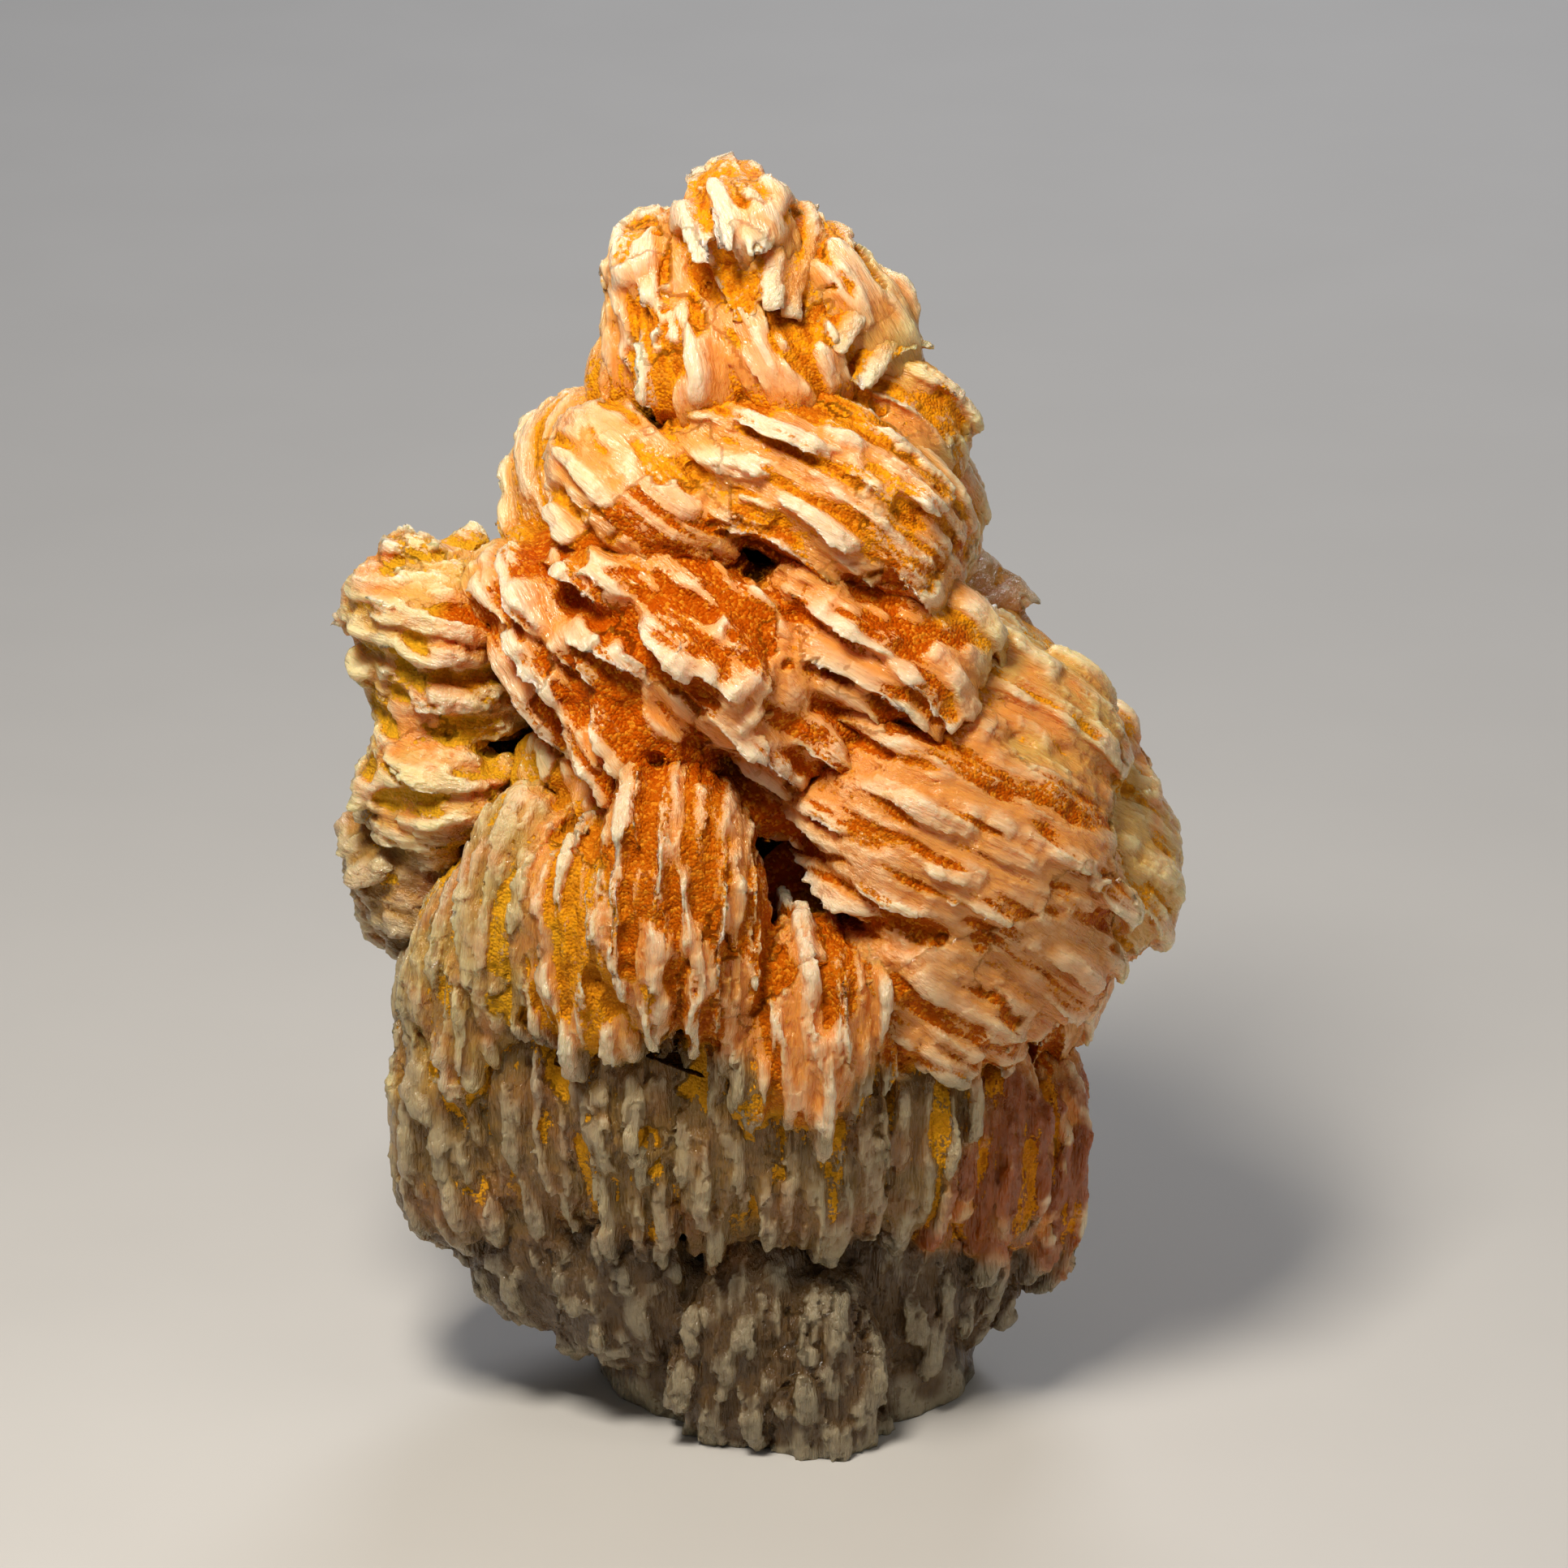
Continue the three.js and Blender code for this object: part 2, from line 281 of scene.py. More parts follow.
class Growth(Enum):
    """The ways that the blades stand, from the crest down to the foot."""

    KNOTTED = Habit(
        1.7,
        8.5,
        1.3,
        0.6,
        cross=7,
        skew=1.2,
        lean=0.1,
        pit=0.5,
        pit_length=4,
        pit_width=1.3,
        rough=0.35,
        fall=0.26,
        arch=0.65,
        hem=0.85,
    )
    FINGERS = Habit(2.0, 8.0, 1.4, 1.5, cross=7, skew=2.2, lean=0.5, pit=0.34, pit_length=3.4, rough=0.45)
    TONGUES = Habit(1.6, 6.5, 1.15, 0.95, cross=7, skew=1.8, lean=0.5, pit=0.24, pit_width=0.7, rough=0.6, hem=0.45)
    LOBE = Habit(
        1.8, 8.5, 1.2, 0.8, 8, 1.3, lean=0.3, pit=0.3, pit_length=3.4, rough=0.4, fall=0.34, arch=0.85, hem=0.95
    )
    RIBS = Habit(
        1.05, 9.0, 0.72, 1.1, cross=4, skew=1.5, lean=0.1, pit=0.3, pit_width=0.8, wave=0.3, arch=0.75, sag=1, hem=0.36
    )
    PRISMS = Habit(
        1.7, 14.0, 1.1, 1.5, cross=4, skew=1.2, lean=0.1, pit=0.2, pit_length=8, wave=0.1, rough=1.2, arch=0.6, sag=0.7
    )
    LAYERS = Habit(1.9, 5.0, 1.0, 1.3, cross=12, skew=1.0, lean=0.3, pit=0.35, pit_length=3, wave=1.0, rough=0.9)
    CURTAIN = Habit(1.0, 9.0, 0.7, 1.05, cross=4, skew=1.6, lean=0.1, pit=0.2, pit_length=6, wave=0.2, hem=0.4, sag=0.6)
    SCALES = Habit(1.5, 4.2, 1.05, 1.0, cross=12, skew=1.6, lean=0.2, pit=0.2, pit_length=3, wave=0.4, hem=0.45)


@dataclass(frozen=True)
class Spray:
    """One fan of blades: its crest point, where it grows and how large it is, as in the solid.

    facing turns from the display side towards +X, lift is above the horizon, and slope is how steeply
    the ridges run down to the right. relief is 1 for open blades and 0.3 for a smooth lobe.
    """

    at: tuple[float, float, float]
    facing: float
    lift: float
    slope: float
    reach: float
    half: float
    spread: float
    relief: float = 1.0
    stain: Stain = Stain.BACK
    growth: Growth = Growth.TONGUES

    @cached_property
    def axes(self) -> np.ndarray:
        """Finds the directions that the spray grows in.

        Returns:
            The ridge, growth and stack directions as rows.
        """
        turn, rise, tilt = (math.radians(v) for v in (self.facing, self.lift, self.slope))
        growth = np.array([math.cos(rise) * math.sin(turn), -math.cos(rise) * math.cos(turn), math.sin(rise)])
        east = np.array([math.cos(turn), math.sin(turn), 0.0])
        up = np.cross(growth, east)
        ridge = east * math.cos(tilt) - up * math.sin(tilt)
        return np.array([ridge, growth, np.cross(ridge, growth)])

    @property
    def root(self) -> np.ndarray:
        """Returns the point inside the body that the blades share."""
        return np.array(self.at) - self.axes[1] * self.reach

    @property
    def width(self) -> float:
        """Returns half the spray's thickness across its blades."""
        return self.spread + BLADE_HALF

    def local(self, points: np.ndarray) -> np.ndarray:
        """Returns points as ridge, growth and stack coordinates from the root."""
        return (points - self.root) @ self.axes.T

    def distance(self, points: np.ndarray) -> np.ndarray:
        """Measures how far points lie outside the spray's own block.

        Args:
            points: Positions in millimetres.

        Returns:
            One distance per point, with a small share of the distance from the crest point.
        """
        along, out, across = self.local(points).T
        beside = np.hypot(np.maximum(np.abs(along) - self.half * 0.8, 0), np.maximum(np.abs(across) - self.width, 0))
        beyond = np.maximum(np.abs(out - self.reach * 0.8) - self.reach * 0.25, 0)
        return np.hypot(beside, beyond) + 0.05 * np.linalg.norm(points - np.array(self.at), axis=1)


def sprays(stain: Stain, growth: Growth, **rows: tuple) -> list[Spray]:
    """Makes sprays from rows, filling in what a row leaves out.

    Args:
        stain: The stain of rows that name none.
        growth: The growth of rows that name none.
        rows: By name: crest point, facing, lift, slope, reach, half, spread, and maybe relief, stain and growth.

    Returns:
        The sprays in the same order.
    """
    made = []
    for at, *rest in rows.values():
        numbers = [v for v in rest if not isinstance(v, Enum)]
        own_stain = next((v for v in rest if isinstance(v, Stain)), stain)
        own_growth = next((v for v in rest if isinstance(v, Growth)), growth)
        made.append(Spray(at, *numbers, stain=own_stain, growth=own_growth))
    return made


CREST = sprays(
    Stain.PEACH,
    Growth.KNOTTED,
    peak=((-1.7, -3, 73.4), -4, 24, 70, 8.5, 6.6, 3.4),
    peak_back=((-1.4, 2.4, 76), 170, 40, 66, 7, 4.4, 2.8),
    knob=((-8.2, -1.2, 74.2), -30, 60, 74, 5, 2.2, 1.0, 0.3, Growth.LOBE),
    left_mass=((-7, -3.4, 70.2), -18, 20, 76, 8, 6.6, 2.6),
    right_shoulder=((3.9, -3, 71), 18, 24, 64, 8, 6, 2.6),
    front_centre=((0.3, -6.2, 68.8), 3, 26, 62, 8, 5.4, 3.2),
    front_left=((-5.4, -6.3, 67.6), -12, 16, 76, 8, 5.2, 2.4),
    right_edge=((7.6, -1.8, 67.2), 42, 14, 66, 9, 6, 2.9, 0.4, Stain.CREAM),
    left_edge=((-10, -0.5, 66.4), -55, 12, 78, 8, 5.5, 2.2, 1, Stain.GOLDEN),
)
UPPER_TIER = sprays(
    Stain.PEACH,
    Growth.TONGUES,
    dome=((2.5, -9, 64), 5, 46, 32, 13, 10.5, 5, 0.7),
    left_lobe=((-10, -8.5, 62), -28, 34, 28, 12, 7, 3.6, 0.8, Stain.LOBE, Growth.LOBE),
    under_lobe=((-8, -10, 58), -12, 2, 34, 9, 6, 3, 1, Stain.FIERY),
    right_flank=((9, -7, 58), 32, 14, 38, 12, 7.5, 4.2, 0.6, Stain.LOBE, Growth.LOBE),
    back_ridge=((6, -2, 66), 18, 60, 30, 10, 7.5, 3.2, 0.8),
    right_wall=((12.8, 1, 55), 72, 4, 54, 10, 6.5, 4.4, 0.5, Stain.CREAM),
    left_wall=((-15.5, 0, 58.5), -75, 14, 44, 12, 6.5, 4.2, 0.6, Stain.GOLDEN),
)
MIDDLE_TIER = sprays(
    Stain.FIERY,
    Growth.FINGERS,
    left_fan=((-14.6, -9.6, 52.6), -34, 18, 46, 11, 7, 4.2),
    centre_fan=((-5, -13.8, 54.6), -5, 32, 38, 13, 9, 4.6),
    right_fan=((6.6, -11.8, 55.2), 12, 36, 36, 12, 8.4, 3.8),
    low_left=((-9.5, -13.6, 48.6), -14, 8, 50, 9, 6, 2.9),
    low_centre=((1.5, -12.6, 48.6), 4, 14, 38, 9, 6.5, 2.6),
    cavity_fan=((-1.5, -11, 42), 0, 0, 46, 8, 5, 2.2),
    recess_fan_near=((-11.4, -11.6, 40.6), -16, 14, 66, 7, 3.6, 1.6, 1, Stain.GOLDEN),
    recess_fan_far=((-15, -8.2, 42.2), -34, 10, 58, 7, 3.4, 1.4, 1, Stain.OCHRE),
)
RIGHT_SIDE = sprays(
    Stain.FAN,
    Growth.TONGUES,
    long_ridge=((14.5, -7, 49), 32, 40, 38, 13, 10.5, 4.2, 0.5, Stain.CREAM),
    great_fan=((13.5, -14.5, 40.5), 22, 12, 33, 14, 11, 7.2, 0.8),
    outer_lobe=((24, -3, 35.2), 62, 8, 42, 13, 7.5, 6.2, 0.7, Stain.CREAM),
    ridge_bump=((21, 1, 43), 50, 46, 40, 9, 4, 2.4, 0.4, Stain.LOBE, Growth.LOBE),
    under_fan=((17, -12, 32), 32, -8, 38, 12, 8.5, 4.2, 0.9, Stain.PALE_FAN),
    hanging_fan=((11, -14.5, 28.5), 14, -18, 38, 10, 7, 4.2, 1, Stain.PALE_FAN),
    low_edge=((21, -3, 26.5), 66, -8, 62, 11, 6.5, 3.8, 1, Stain.PALE_FAN),
)
AMBER_COLUMN = sprays(
    Stain.AMBER,
    Growth.CURTAIN,
    amber_near=((15.5, -9, 18), 38, -2, 90, 9, 8, 3.4, 0.7),
    amber_far=((19.8, -3, 15.5), 66, -2, 88, 10, 8.5, 3.8, 0.8),
)
LEFT_PILLAR = sprays(
    Stain.SUGAR,
    Growth.LAYERS,
    shelf=((-24, -5, 52), -44, 20, 2, 11, 6, 3, 0.8, Stain.OCHRE),
    shelf_knob=((-20, -1, 54.5), -25, 62, 12, 9, 3.4, 2.8, 0.5, Stain.OCHRE),
    upper_layers=((-24.7, -3.5, 46), -60, 0, 4, 10, 5.5, 4.2, 0.7, Stain.OCHRE),
    lens=((-23, -7.5, 40.5), -38, 0, 0, 9, 5, 3.2, 0.8, Stain.OCHRE),
    lower_layers=((-25.8, -2, 34), -64, 0, 2, 10, 6, 5.2),
)
FRONT_FANS = sprays(
    Stain.RIBS,
    Growth.RIBS,
    left_prism=((-17.5, -14.2, 35.5), -28, 8, 92, 10, 8.2, 2.4, 0.9, Stain.PRISM, Growth.PRISMS),
    left_blades=((-21.6, -10.8, 30.5), -50, 5, 94, 10, 8, 2.9, 1, Stain.PRISM, Growth.PRISMS),
    left_flute=((-23.2, -7.2, 23.5), -64, 0, 90, 10, 8, 4, 1, Stain.CURTAIN),
    great_ribs=((-6, -19, 38), -3, 8, 90, 12, 8.6, 4.6),
    left_ribs=((-12.5, -16.8, 34.5), -24, 2, 88, 10, 7, 3.4, 1, Stain.GOLDEN),
    right_ribs=((-1.5, -17, 34), 18, 0, 92, 10, 6.5, 2.8),
    small_ribs=((3, -18, 29), 8, 2, 90, 11, 7, 3.8),
)
CURTAIN = sprays(
    Stain.CURTAIN,
    Growth.CURTAIN,
    curtain_edge=((-23, -6.8, 17), -62, -4, 90, 10, 7.5, 4.6),
    curtain_left=((-16, -11.8, 22), -32, -2, 90, 10, 9, 4.4),
    curtain_mid_left=((-9.5, -14.6, 22.5), -14, -2, 90, 10, 9.5, 4.2),
    curtain_middle=((-2.5, -15.6, 22), 0, -2, 90, 10, 9, 4.2),
    curtain_mid_right=((4, -15.4, 20.5), 10, -2, 90, 10, 8, 4),
    curtain_right=((10, -13.2, 21), 24, -2, 90, 10, 8.5, 4),
)
FOOT = sprays(
    Stain.SMOKY,
    Growth.SCALES,
    foot_edge_left=((-20.8, -3, 11), -70, -24, 90, 10, 6.5, 4.6),
    foot_left=((-17, -7.5, 8.5), -46, -26, 90, 10, 6.5, 4.6),
    foot_mid_left=((-10.2, -10.5, 7.5), -22, -22, 90, 9, 7, 4.6),
    foot_middle=((-2, -13.5, 5), -4, -6, 90, 10, 9, 3.2),
    foot_tip=((3, -14.2, 3.5), 4, -4, 90, 11, 9, 2.8),
    foot_right=((9, -9.5, 7.5), 24, -10, 90, 9, 9, 4.4),
    foot_edge=((14.8, -4.5, 8), 58, -14, 90, 10, 9, 4.6),
)
BACK_UPPER = sprays(
    Stain.BACK,
    Growth.TONGUES,
    back_peak=((-1, 6, 73.5), 175, 45, 62, 10, 6.5, 4),
    back_crest_left=((-7, 7, 66), 205, 20, 66, 10, 7, 3.8),
    back_crest_right=((5, 7, 66), 155, 22, 60, 10, 7, 3.8),
    back_dome=((1, 13, 58.5), 178, 26, 34, 12, 10, 5.2),
    back_dome_left=((-10.5, 9, 56.5), 225, 12, 36, 11, 7.5, 4.6),
    back_dome_right=((10, 9, 56.5), 130, 14, 40, 11, 7.5, 4.6),
    back_fan_left=((-18, 9, 46), 236, 8, 30, 12, 8.5, 5.2),
    back_fan_middle=((-4, 17, 46), 188, 12, 38, 13, 10, 6),
    back_fan_right=((12, 15, 45), 142, 14, 40, 13, 9.5, 5.6),
    back_outer_lobe=((21.5, 8, 38), 108, 8, 42, 12, 8, 5.4, 1, Stain.CREAM),
)
BACK_LOWER = sprays(
    Stain.CURTAIN,
    Growth.CURTAIN,
    back_ribs_left=((-20.5, 9.5, 31), 240, 0, 84, 11, 9, 5.4, 1, Stain.SUGAR),
    back_ribs_middle=((-8, 18.5, 31), 200, 2, 88, 12, 9.5, 6, 1, Stain.BACK),
    back_ribs_right=((5, 19, 29.5), 170, 2, 92, 12, 9.5, 6, 1, Stain.BACK),
    back_ribs_edge=((17, 12, 28), 128, 0, 90, 11, 9, 5.4, 1, Stain.PALE_FAN),
    back_curtain_left=((-17.5, 8.5, 15), 240, -12, 90, 10, 9, 5.4),
    back_curtain_middle=((-7, 15, 13.5), 205, -12, 90, 10, 9.5, 5.6),
    back_curtain_right=((5, 15, 13.5), 160, -12, 90, 10, 9.5, 5.6),
    back_curtain_edge=((15, 8.5, 14.5), 120, -12, 90, 10, 9, 5.4),
    back_foot_left=((-9.5, 8.5, 5), 238, -16, 90, 9, 8, 5.4, 1, Stain.SMOKY),
    back_foot_middle=((0, 12, 4.5), 182, -16, 90, 9, 8, 5.6, 1, Stain.SMOKY),
    back_foot_right=((10.5, 8, 5), 126, -16, 90, 9, 8, 5.4, 1, Stain.SMOKY),
)


class PlateTemplate:
    """A thin closed block of quads that every blade is bent from."""

    ALONG = 16
    OUTWARD = 4

    def __init__(self) -> None:
        """Extrudes a grid into the block and reads where its points lie."""
        shape = bmesh.new()
        bmesh.ops.create_grid(shape, x_segments=self.ALONG, y_segments=self.OUTWARD, size=1.0)
        made = bmesh.ops.extrude_face_region(shape, geom=shape.faces[:], use_keep_orig=True)
        lifted = [v for v in made["geom"] if isinstance(v, bmesh.types.BMVert)]
        bmesh.ops.translate(shape, verts=lifted, vec=(0, 0, 1))
        bmesh.ops.recalc_face_normals(shape, faces=shape.faces[:])
        self.mesh = as_mesh(shape, "plate_template")
        places = read_points(self.mesh)
        self.along = (places[:, 0] + 1) / 2
        self.outward = (places[:, 1] + 1) / 2
        self.side = places[:, 2] - 0.5

    def add_to(self, shape: bmesh.types.BMesh, points: np.ndarray) -> None:
        """Adds one bent plate to a bmesh.

        Args:
            shape: The bmesh that takes the plate.
            points: Where each of the template's points goes.
        """
        first = len(shape.verts)
        shape.from_mesh(self.mesh)
        shape.verts.ensure_lookup_table()
        place_at(shape.verts[first:], points)


def read(items: bpy.types.bpy_prop_collection, what: str, kind: type, width: int = 1) -> np.ndarray:
    """Reads one property of all vertices, edges, faces or corners of a mesh.

    Args:
        items: The mesh's vertices, edges, polygons or loops, or an attribute's data.
        what: The property.
        kind: The type of its values.
        width: How many values each item has.

    Returns:
        One row per item, or one value where the width is 1.
    """
    values = np.empty(len(items) * width, dtype=kind)
    items.foreach_get(what, values)
    return values.reshape(-1, width) if width > 1 else values


def read_points(mesh: bpy.types.Mesh) -> np.ndarray:
    """Returns a mesh's vertex positions, one row each."""
    return read(mesh.vertices, "co", float, 3)


def write_points(mesh: bpy.types.Mesh, points: np.ndarray) -> None:
    """Moves a mesh's vertices to new positions."""
    mesh.vertices.foreach_set("co", np.ascontiguousarray(points, dtype=np.float32).ravel())
    mesh.update()


def as_mesh(shape: bmesh.types.BMesh, name: str) -> bpy.types.Mesh:
    """Turns a bmesh into a new mesh and frees it.

    Args:
        shape: The bmesh.
        name: The mesh's name.

    Returns:
        The mesh.
    """
    mesh = bpy.data.meshes.new(name)
    shape.to_mesh(mesh)
    shape.free()
    return mesh


def show(name: str, data: bpy.types.ID) -> bpy.types.Object:
    """Puts a mesh, light or camera into the scene.

    Args:
        name: The new object's name.
        data: The mesh, light or camera.

    Returns:
        The object.
    """
    shown = bpy.data.objects.new(name, data)
    bpy.context.scene.collection.objects.link(shown)
    return shown


def place_at(vertices: list[bmesh.types.BMVert], points: np.ndarray) -> None:
    """Puts each vertex at its row of points."""
    for vertex, place in zip(vertices, points.tolist()):
        vertex.co = place


def drop(shape: bmesh.types.BMesh, chosen: np.ndarray) -> None:
    """Deletes the vertices that a mask chooses, with their faces."""
    shape.verts.ensure_lookup_table()
    bmesh.ops.delete(shape, geom=[shape.verts[i] for i in np.flatnonzero(chosen)], context="VERTS")


class Neighbours:
    """The edges of a mesh, for spreading values from point to point."""

    def __init__(self, mesh: bpy.types.Mesh) -> None:
        """Reads the edges and counts each point's neighbours."""
        self.edges = read(mesh.edges, "vertices", np.int32, 2)
        self.count = len(mesh.vertices)
        self.valence = np.maximum(np.bincount(self.edges.ravel(), minlength=self.count), 1)

    def mean(self, values: np.ndarray) -> np.ndarray:
        """Averages each point's neighbours, column by column.

        Args:
            values: One row per point.

        Returns:
            The neighbours' means, in the same shape.
        """
        first, second = self.edges.T
        columns = []
        for column in values.T:
            total = np.bincount(first, column[second], self.count) + np.bincount(second, column[first], self.count)
            columns.append(total / self.valence)
        return np.array(columns).T

    def spread(self, values: np.ndarray, share: float, rounds: int) -> np.ndarray:
        """Moves values towards their neighbours' mean.

        Args:
            values: One row per point.
            share: How far each round moves them.
            rounds: How many rounds there are.

        Returns:
            The softened values.
        """
        for _ in range(rounds):
            values = values + share * (self.mean(values) - values)
        return values

    def islands(self) -> np.ndarray:
        """Finds the separate skins.

        Returns:
            A label for each point, the same for all points of one connected skin.
        """
        label = np.arange(self.count)
        first, second = self.edges.T
        while True:
            low = np.minimum(label[first], label[second])
            fresh = label.copy()
            np.minimum.at(fresh, first, low)
            np.minimum.at(fresh, second, low)
            fresh = fresh[fresh]
            if np.array_equal(fresh, label):
                return label
            label = fresh


class SolidField:
    """How much solid lies around a point, from the skins of all groups together.

    The density follows from the skins' area vectors by one Poisson solution on a grid, so that
    skins may overlap and none has to be filled.
    """

    CELL = 0.45
    LOW = np.array([-36.0, -30.0, -8.0])
    SHAPE = (160, 134, 214)

    def __init__(self) -> None:
        """Starts with an empty grid."""
        self.vectors = np.zeros((3, *self.SHAPE), dtype=np.float32)

    def add(self, mesh: bpy.types.Mesh) -> None:
        """Adds the area vectors of a mesh of quads or triangles.

        Args:
            mesh: The skin, in millimetres.
        """
        points = read_points(mesh)
        starts = read(mesh.polygons, "loop_start", np.int32)
        totals = read(mesh.polygons, "loop_total", np.int32)
        around = read(mesh.loops, "vertex_index", np.int32)
        ring = [points[around[starts + np.minimum(k, totals - 1)]] for k in range(4)]
        area = 0.5 * np.cross(ring[2] - ring[0], ring[3] - ring[1])
        cell = np.floor((sum(ring) / 4 - self.LOW) / self.CELL).astype(int)
        for axis in range(3):
            np.add.at(self.vectors[axis], tuple(cell.T), area[:, axis])

    def solve(self, blur: float) -> np.ndarray:
        """Solves for the solid share of space, blurred over a distance.

        Args:
            blur: The standard deviation of the blur, in millimetres.

        Returns:
            A grid of densities: 0 in the open, about 0.5 at a flat face, and more in a groove.
        """
        waves = [2 * math.pi * np.fft.fftfreq(n, self.CELL) for n in self.SHAPE[:2]]
        waves.append(2 * math.pi * np.fft.rfftfreq(self.SHAPE[2], self.CELL))
        grid = np.meshgrid(*waves, indexing="ij", sparse=True)
        square = sum(w * w for w in grid)
        square[0, 0, 0] = 1
        flow = sum(1j * w * np.fft.rfftn(self.vectors[a]) for a, w in enumerate(grid))
        density = flow * np.exp(-0.5 * blur * blur * square) / square
        density[0, 0, 0] = 0
        found = np.fft.irfftn(density, self.SHAPE) / self.CELL**3
        return (found - found[0, 0, 0]).astype(np.float32)

    def sample(self, grid: np.ndarray, points: np.ndarray) -> np.ndarray:
        """Reads a grid at points, mixing the eight nearest cells.

        Args:
            grid: A density grid.
            points: Positions in millimetres.

        Returns:
            One density per point.
        """
        places = (points - self.LOW) / self.CELL - 0.5
        return sum(weight * grid[tuple(at.T)] for at, weight in corners(places))


@dataclass
class CrystalGroup:
    """One group of sprays that have grown into each other, as one closed skin.

    voxel is the size of the voxels that fuse it, in millimetres, and coarse widens its blades. Skin in more
    than the buried share of solid is taken off, and so are pieces of fewer points than a crumb. soft is how
    far each round blends the borders between sprays.
    """

    name: str
    sprays: list[Spray]
    seed: int = 1
    voxel: float = 0.215
    coarse: float = 1.0
    buried: float = 0.96
    crumb: int = 400
    soft: float = 0.6
    mesh: bpy.types.Mesh | None = field(default=None, repr=False)
    pit: np.ndarray | None = field(default=None, repr=False)
    rough: np.ndarray | None = field(default=None, repr=False)

    def grow(self, template: PlateTemplate) -> None:
        """Grows the blades and fuses them into one skin.

        Args:
            template: The plate that blades are bent from.
        """
        shape = bmesh.new()
        for number, spray in enumerate(self.sprays):
            self.grow_spray(shape, template, spray, 100 * self.seed + 17 * number)
        rough = as_mesh(shape, self.name + "_rough")
        write_points(rough, warp(read_points(rough)))
        self.mesh = fuse(rough, self.voxel, self.name)
        write_points(self.mesh, Neighbours(self.mesh).spread(read_points(self.mesh), 0.35, 1))

    def grow_spray(self, shape: bmesh.types.BMesh, template: PlateTemplate, spray: Spray, seed: int) -> None:
        """Adds a spray's body, and rows of overlapping blades on it.

        Args:
            shape: The bmesh that takes them.
            template: The plate that the blades are bent from.
            spray: The spray.
            seed: Chooses the irregularities.
        """
        habit = spray.growth.value
        rise = habit.rise * (0.35 + 0.65 * spray.relief)
        self.grow_body(shape, spray, rise)
        rows = max(3, round(2 * spray.width / (habit.pitch * self.coarse)) + 1)
        for i in range(rows):
            place = 2 * i / (rows - 1) - 1
            proud = rise * (1 + 0.55 * wobble(seed + 5.1 * i))
            half = spray.half * (1 - (0.26 + 0.6 * habit.fall) * place * place + 0.1 * wobble(seed + 2.9 * i))
            count = max(1, round(2.3 * half / habit.length))
            for k in range(count):
                own = seed + 1.7 * i + 0.43 * k
                middle = (2 * k + 1) / count - 1 + 0.8 * wobble(own + 0.1) / count
                reach = min(1.0, habit.length * (1 + 0.4 * wobble(own + 0.5)) / (2 * half))
                start, end = max(-1.0, middle - reach), min(1.0, middle + reach)
                span = (math.acos(-start), math.acos(-end))
                tall = proud * (1 + 0.35 * wobble(own + 0.9))
                self.grow_blade(shape, template, spray, (place, half, rise, tall), span, own)

    def grow_body(self, shape: bmesh.types.BMesh, spray: Spray, rise: float) -> None:
        """Adds the rounded body that a spray's blades stand on.

        Args:
            shape: The bmesh that takes it.
            spray: The spray.
            rise: How far the blades stand out.
        """
        made = bmesh.ops.create_icosphere(shape, subdivisions=3, radius=1.0)["verts"]
        ball = np.array([v.co for v in made])
        ball = np.sign(ball) * np.abs(ball) ** 0.8
        top = 0.6 * spray.reach - rise
        out = 0.4 * spray.reach + ball[:, 2] * np.where(ball[:, 2] > 0, top, 0.4 * spray.reach)
        across = ball[:, 1] * spray.width * (0.6 + 0.4 * out / spray.reach)
        place_at(made, np.array([0.95 * spray.half * ball[:, 0], out, across]).T @ spray.axes + spray.root)

    def grow_blade(
        self,
        shape: bmesh.types.BMesh,
        template: PlateTemplate,
        spray: Spray,
        row: tuple[float, float, float, float],
        span: tuple[float, float],
        seed: float,
    ) -> None:
        """Bends one blade and adds it.

        Args:
            shape: The bmesh that takes it.
            template: The flat plate.
            spray: The spray that it belongs to.
            row: Where its row stands across the spray from -1 to 1, half its length, and how far the spray
                and the row stand out.
            span: The angles round the body where it starts and ends.
            seed: Chooses its irregularities.
        """
        habit = spray.growth.value
        place, half, rise, proud = row

        # The row fans out from the spray's root and turns a little out of line
        ridge, growth, stack = spray.axes
        splay = math.asin(min(0.95, 0.5 * spray.width / spray.reach))
        angle = place * splay + math.radians(2) * wobble(seed + 0.3)
        outward = growth * math.cos(angle) + stack * math.sin(angle)
        twist = Matrix.Rotation(math.radians(habit.cross) * wobble(seed + 0.6), 3, Vector(outward))
        along = np.array(twist @ Vector(ridge))
        across = np.cross(along, outward)
        shift = place * 0.5 * spray.width + 0.4 * habit.pitch * wobble(seed + 0.2)

        # Its foot follows the body as an arch, and its rim stands out in ragged teeth
        t = template.along
        theta = span[0] + (span[1] - span[0]) * t
        base = (spray.reach - rise) * (1 - habit.fall * place * place)
        bend = np.where(theta < math.pi / 2, habit.arch, habit.hem)
        u, w = -half * np.cos(theta), base * np.sin(theta) ** bend
        stand = t**0.6 * (1 - t ** (3 * habit.skew)) / 0.8
        stand = stand * (1 + 0.3 * wobble(seed + 0.8)) + 0.1 * ripple(t, habit.length / 3.5, seed)
        stand = stand - 0.2 * np.clip(ripple(t, habit.length / 1.8, seed + 4), 0, 1)
        hang = habit.sag * (max(0.0, spray.half - half) + 0.15 * spray.half * wobble(seed + 1.1))

        # The rim stands square to the arch
        tip_u, tip_w = -np.cos(theta) / half, np.sin(theta) / base
        size = np.hypot(tip_u, tip_w)
        share = 0.7 + 0.3 * np.minimum(2 * template.outward, 1)
        out = np.maximum(2 * template.outward - 1, 0)
        step = proud * stand * out
        u = u * (0.75 + 0.25 * share) + step * tip_u / size
        w = w * share + step * tip_w / size

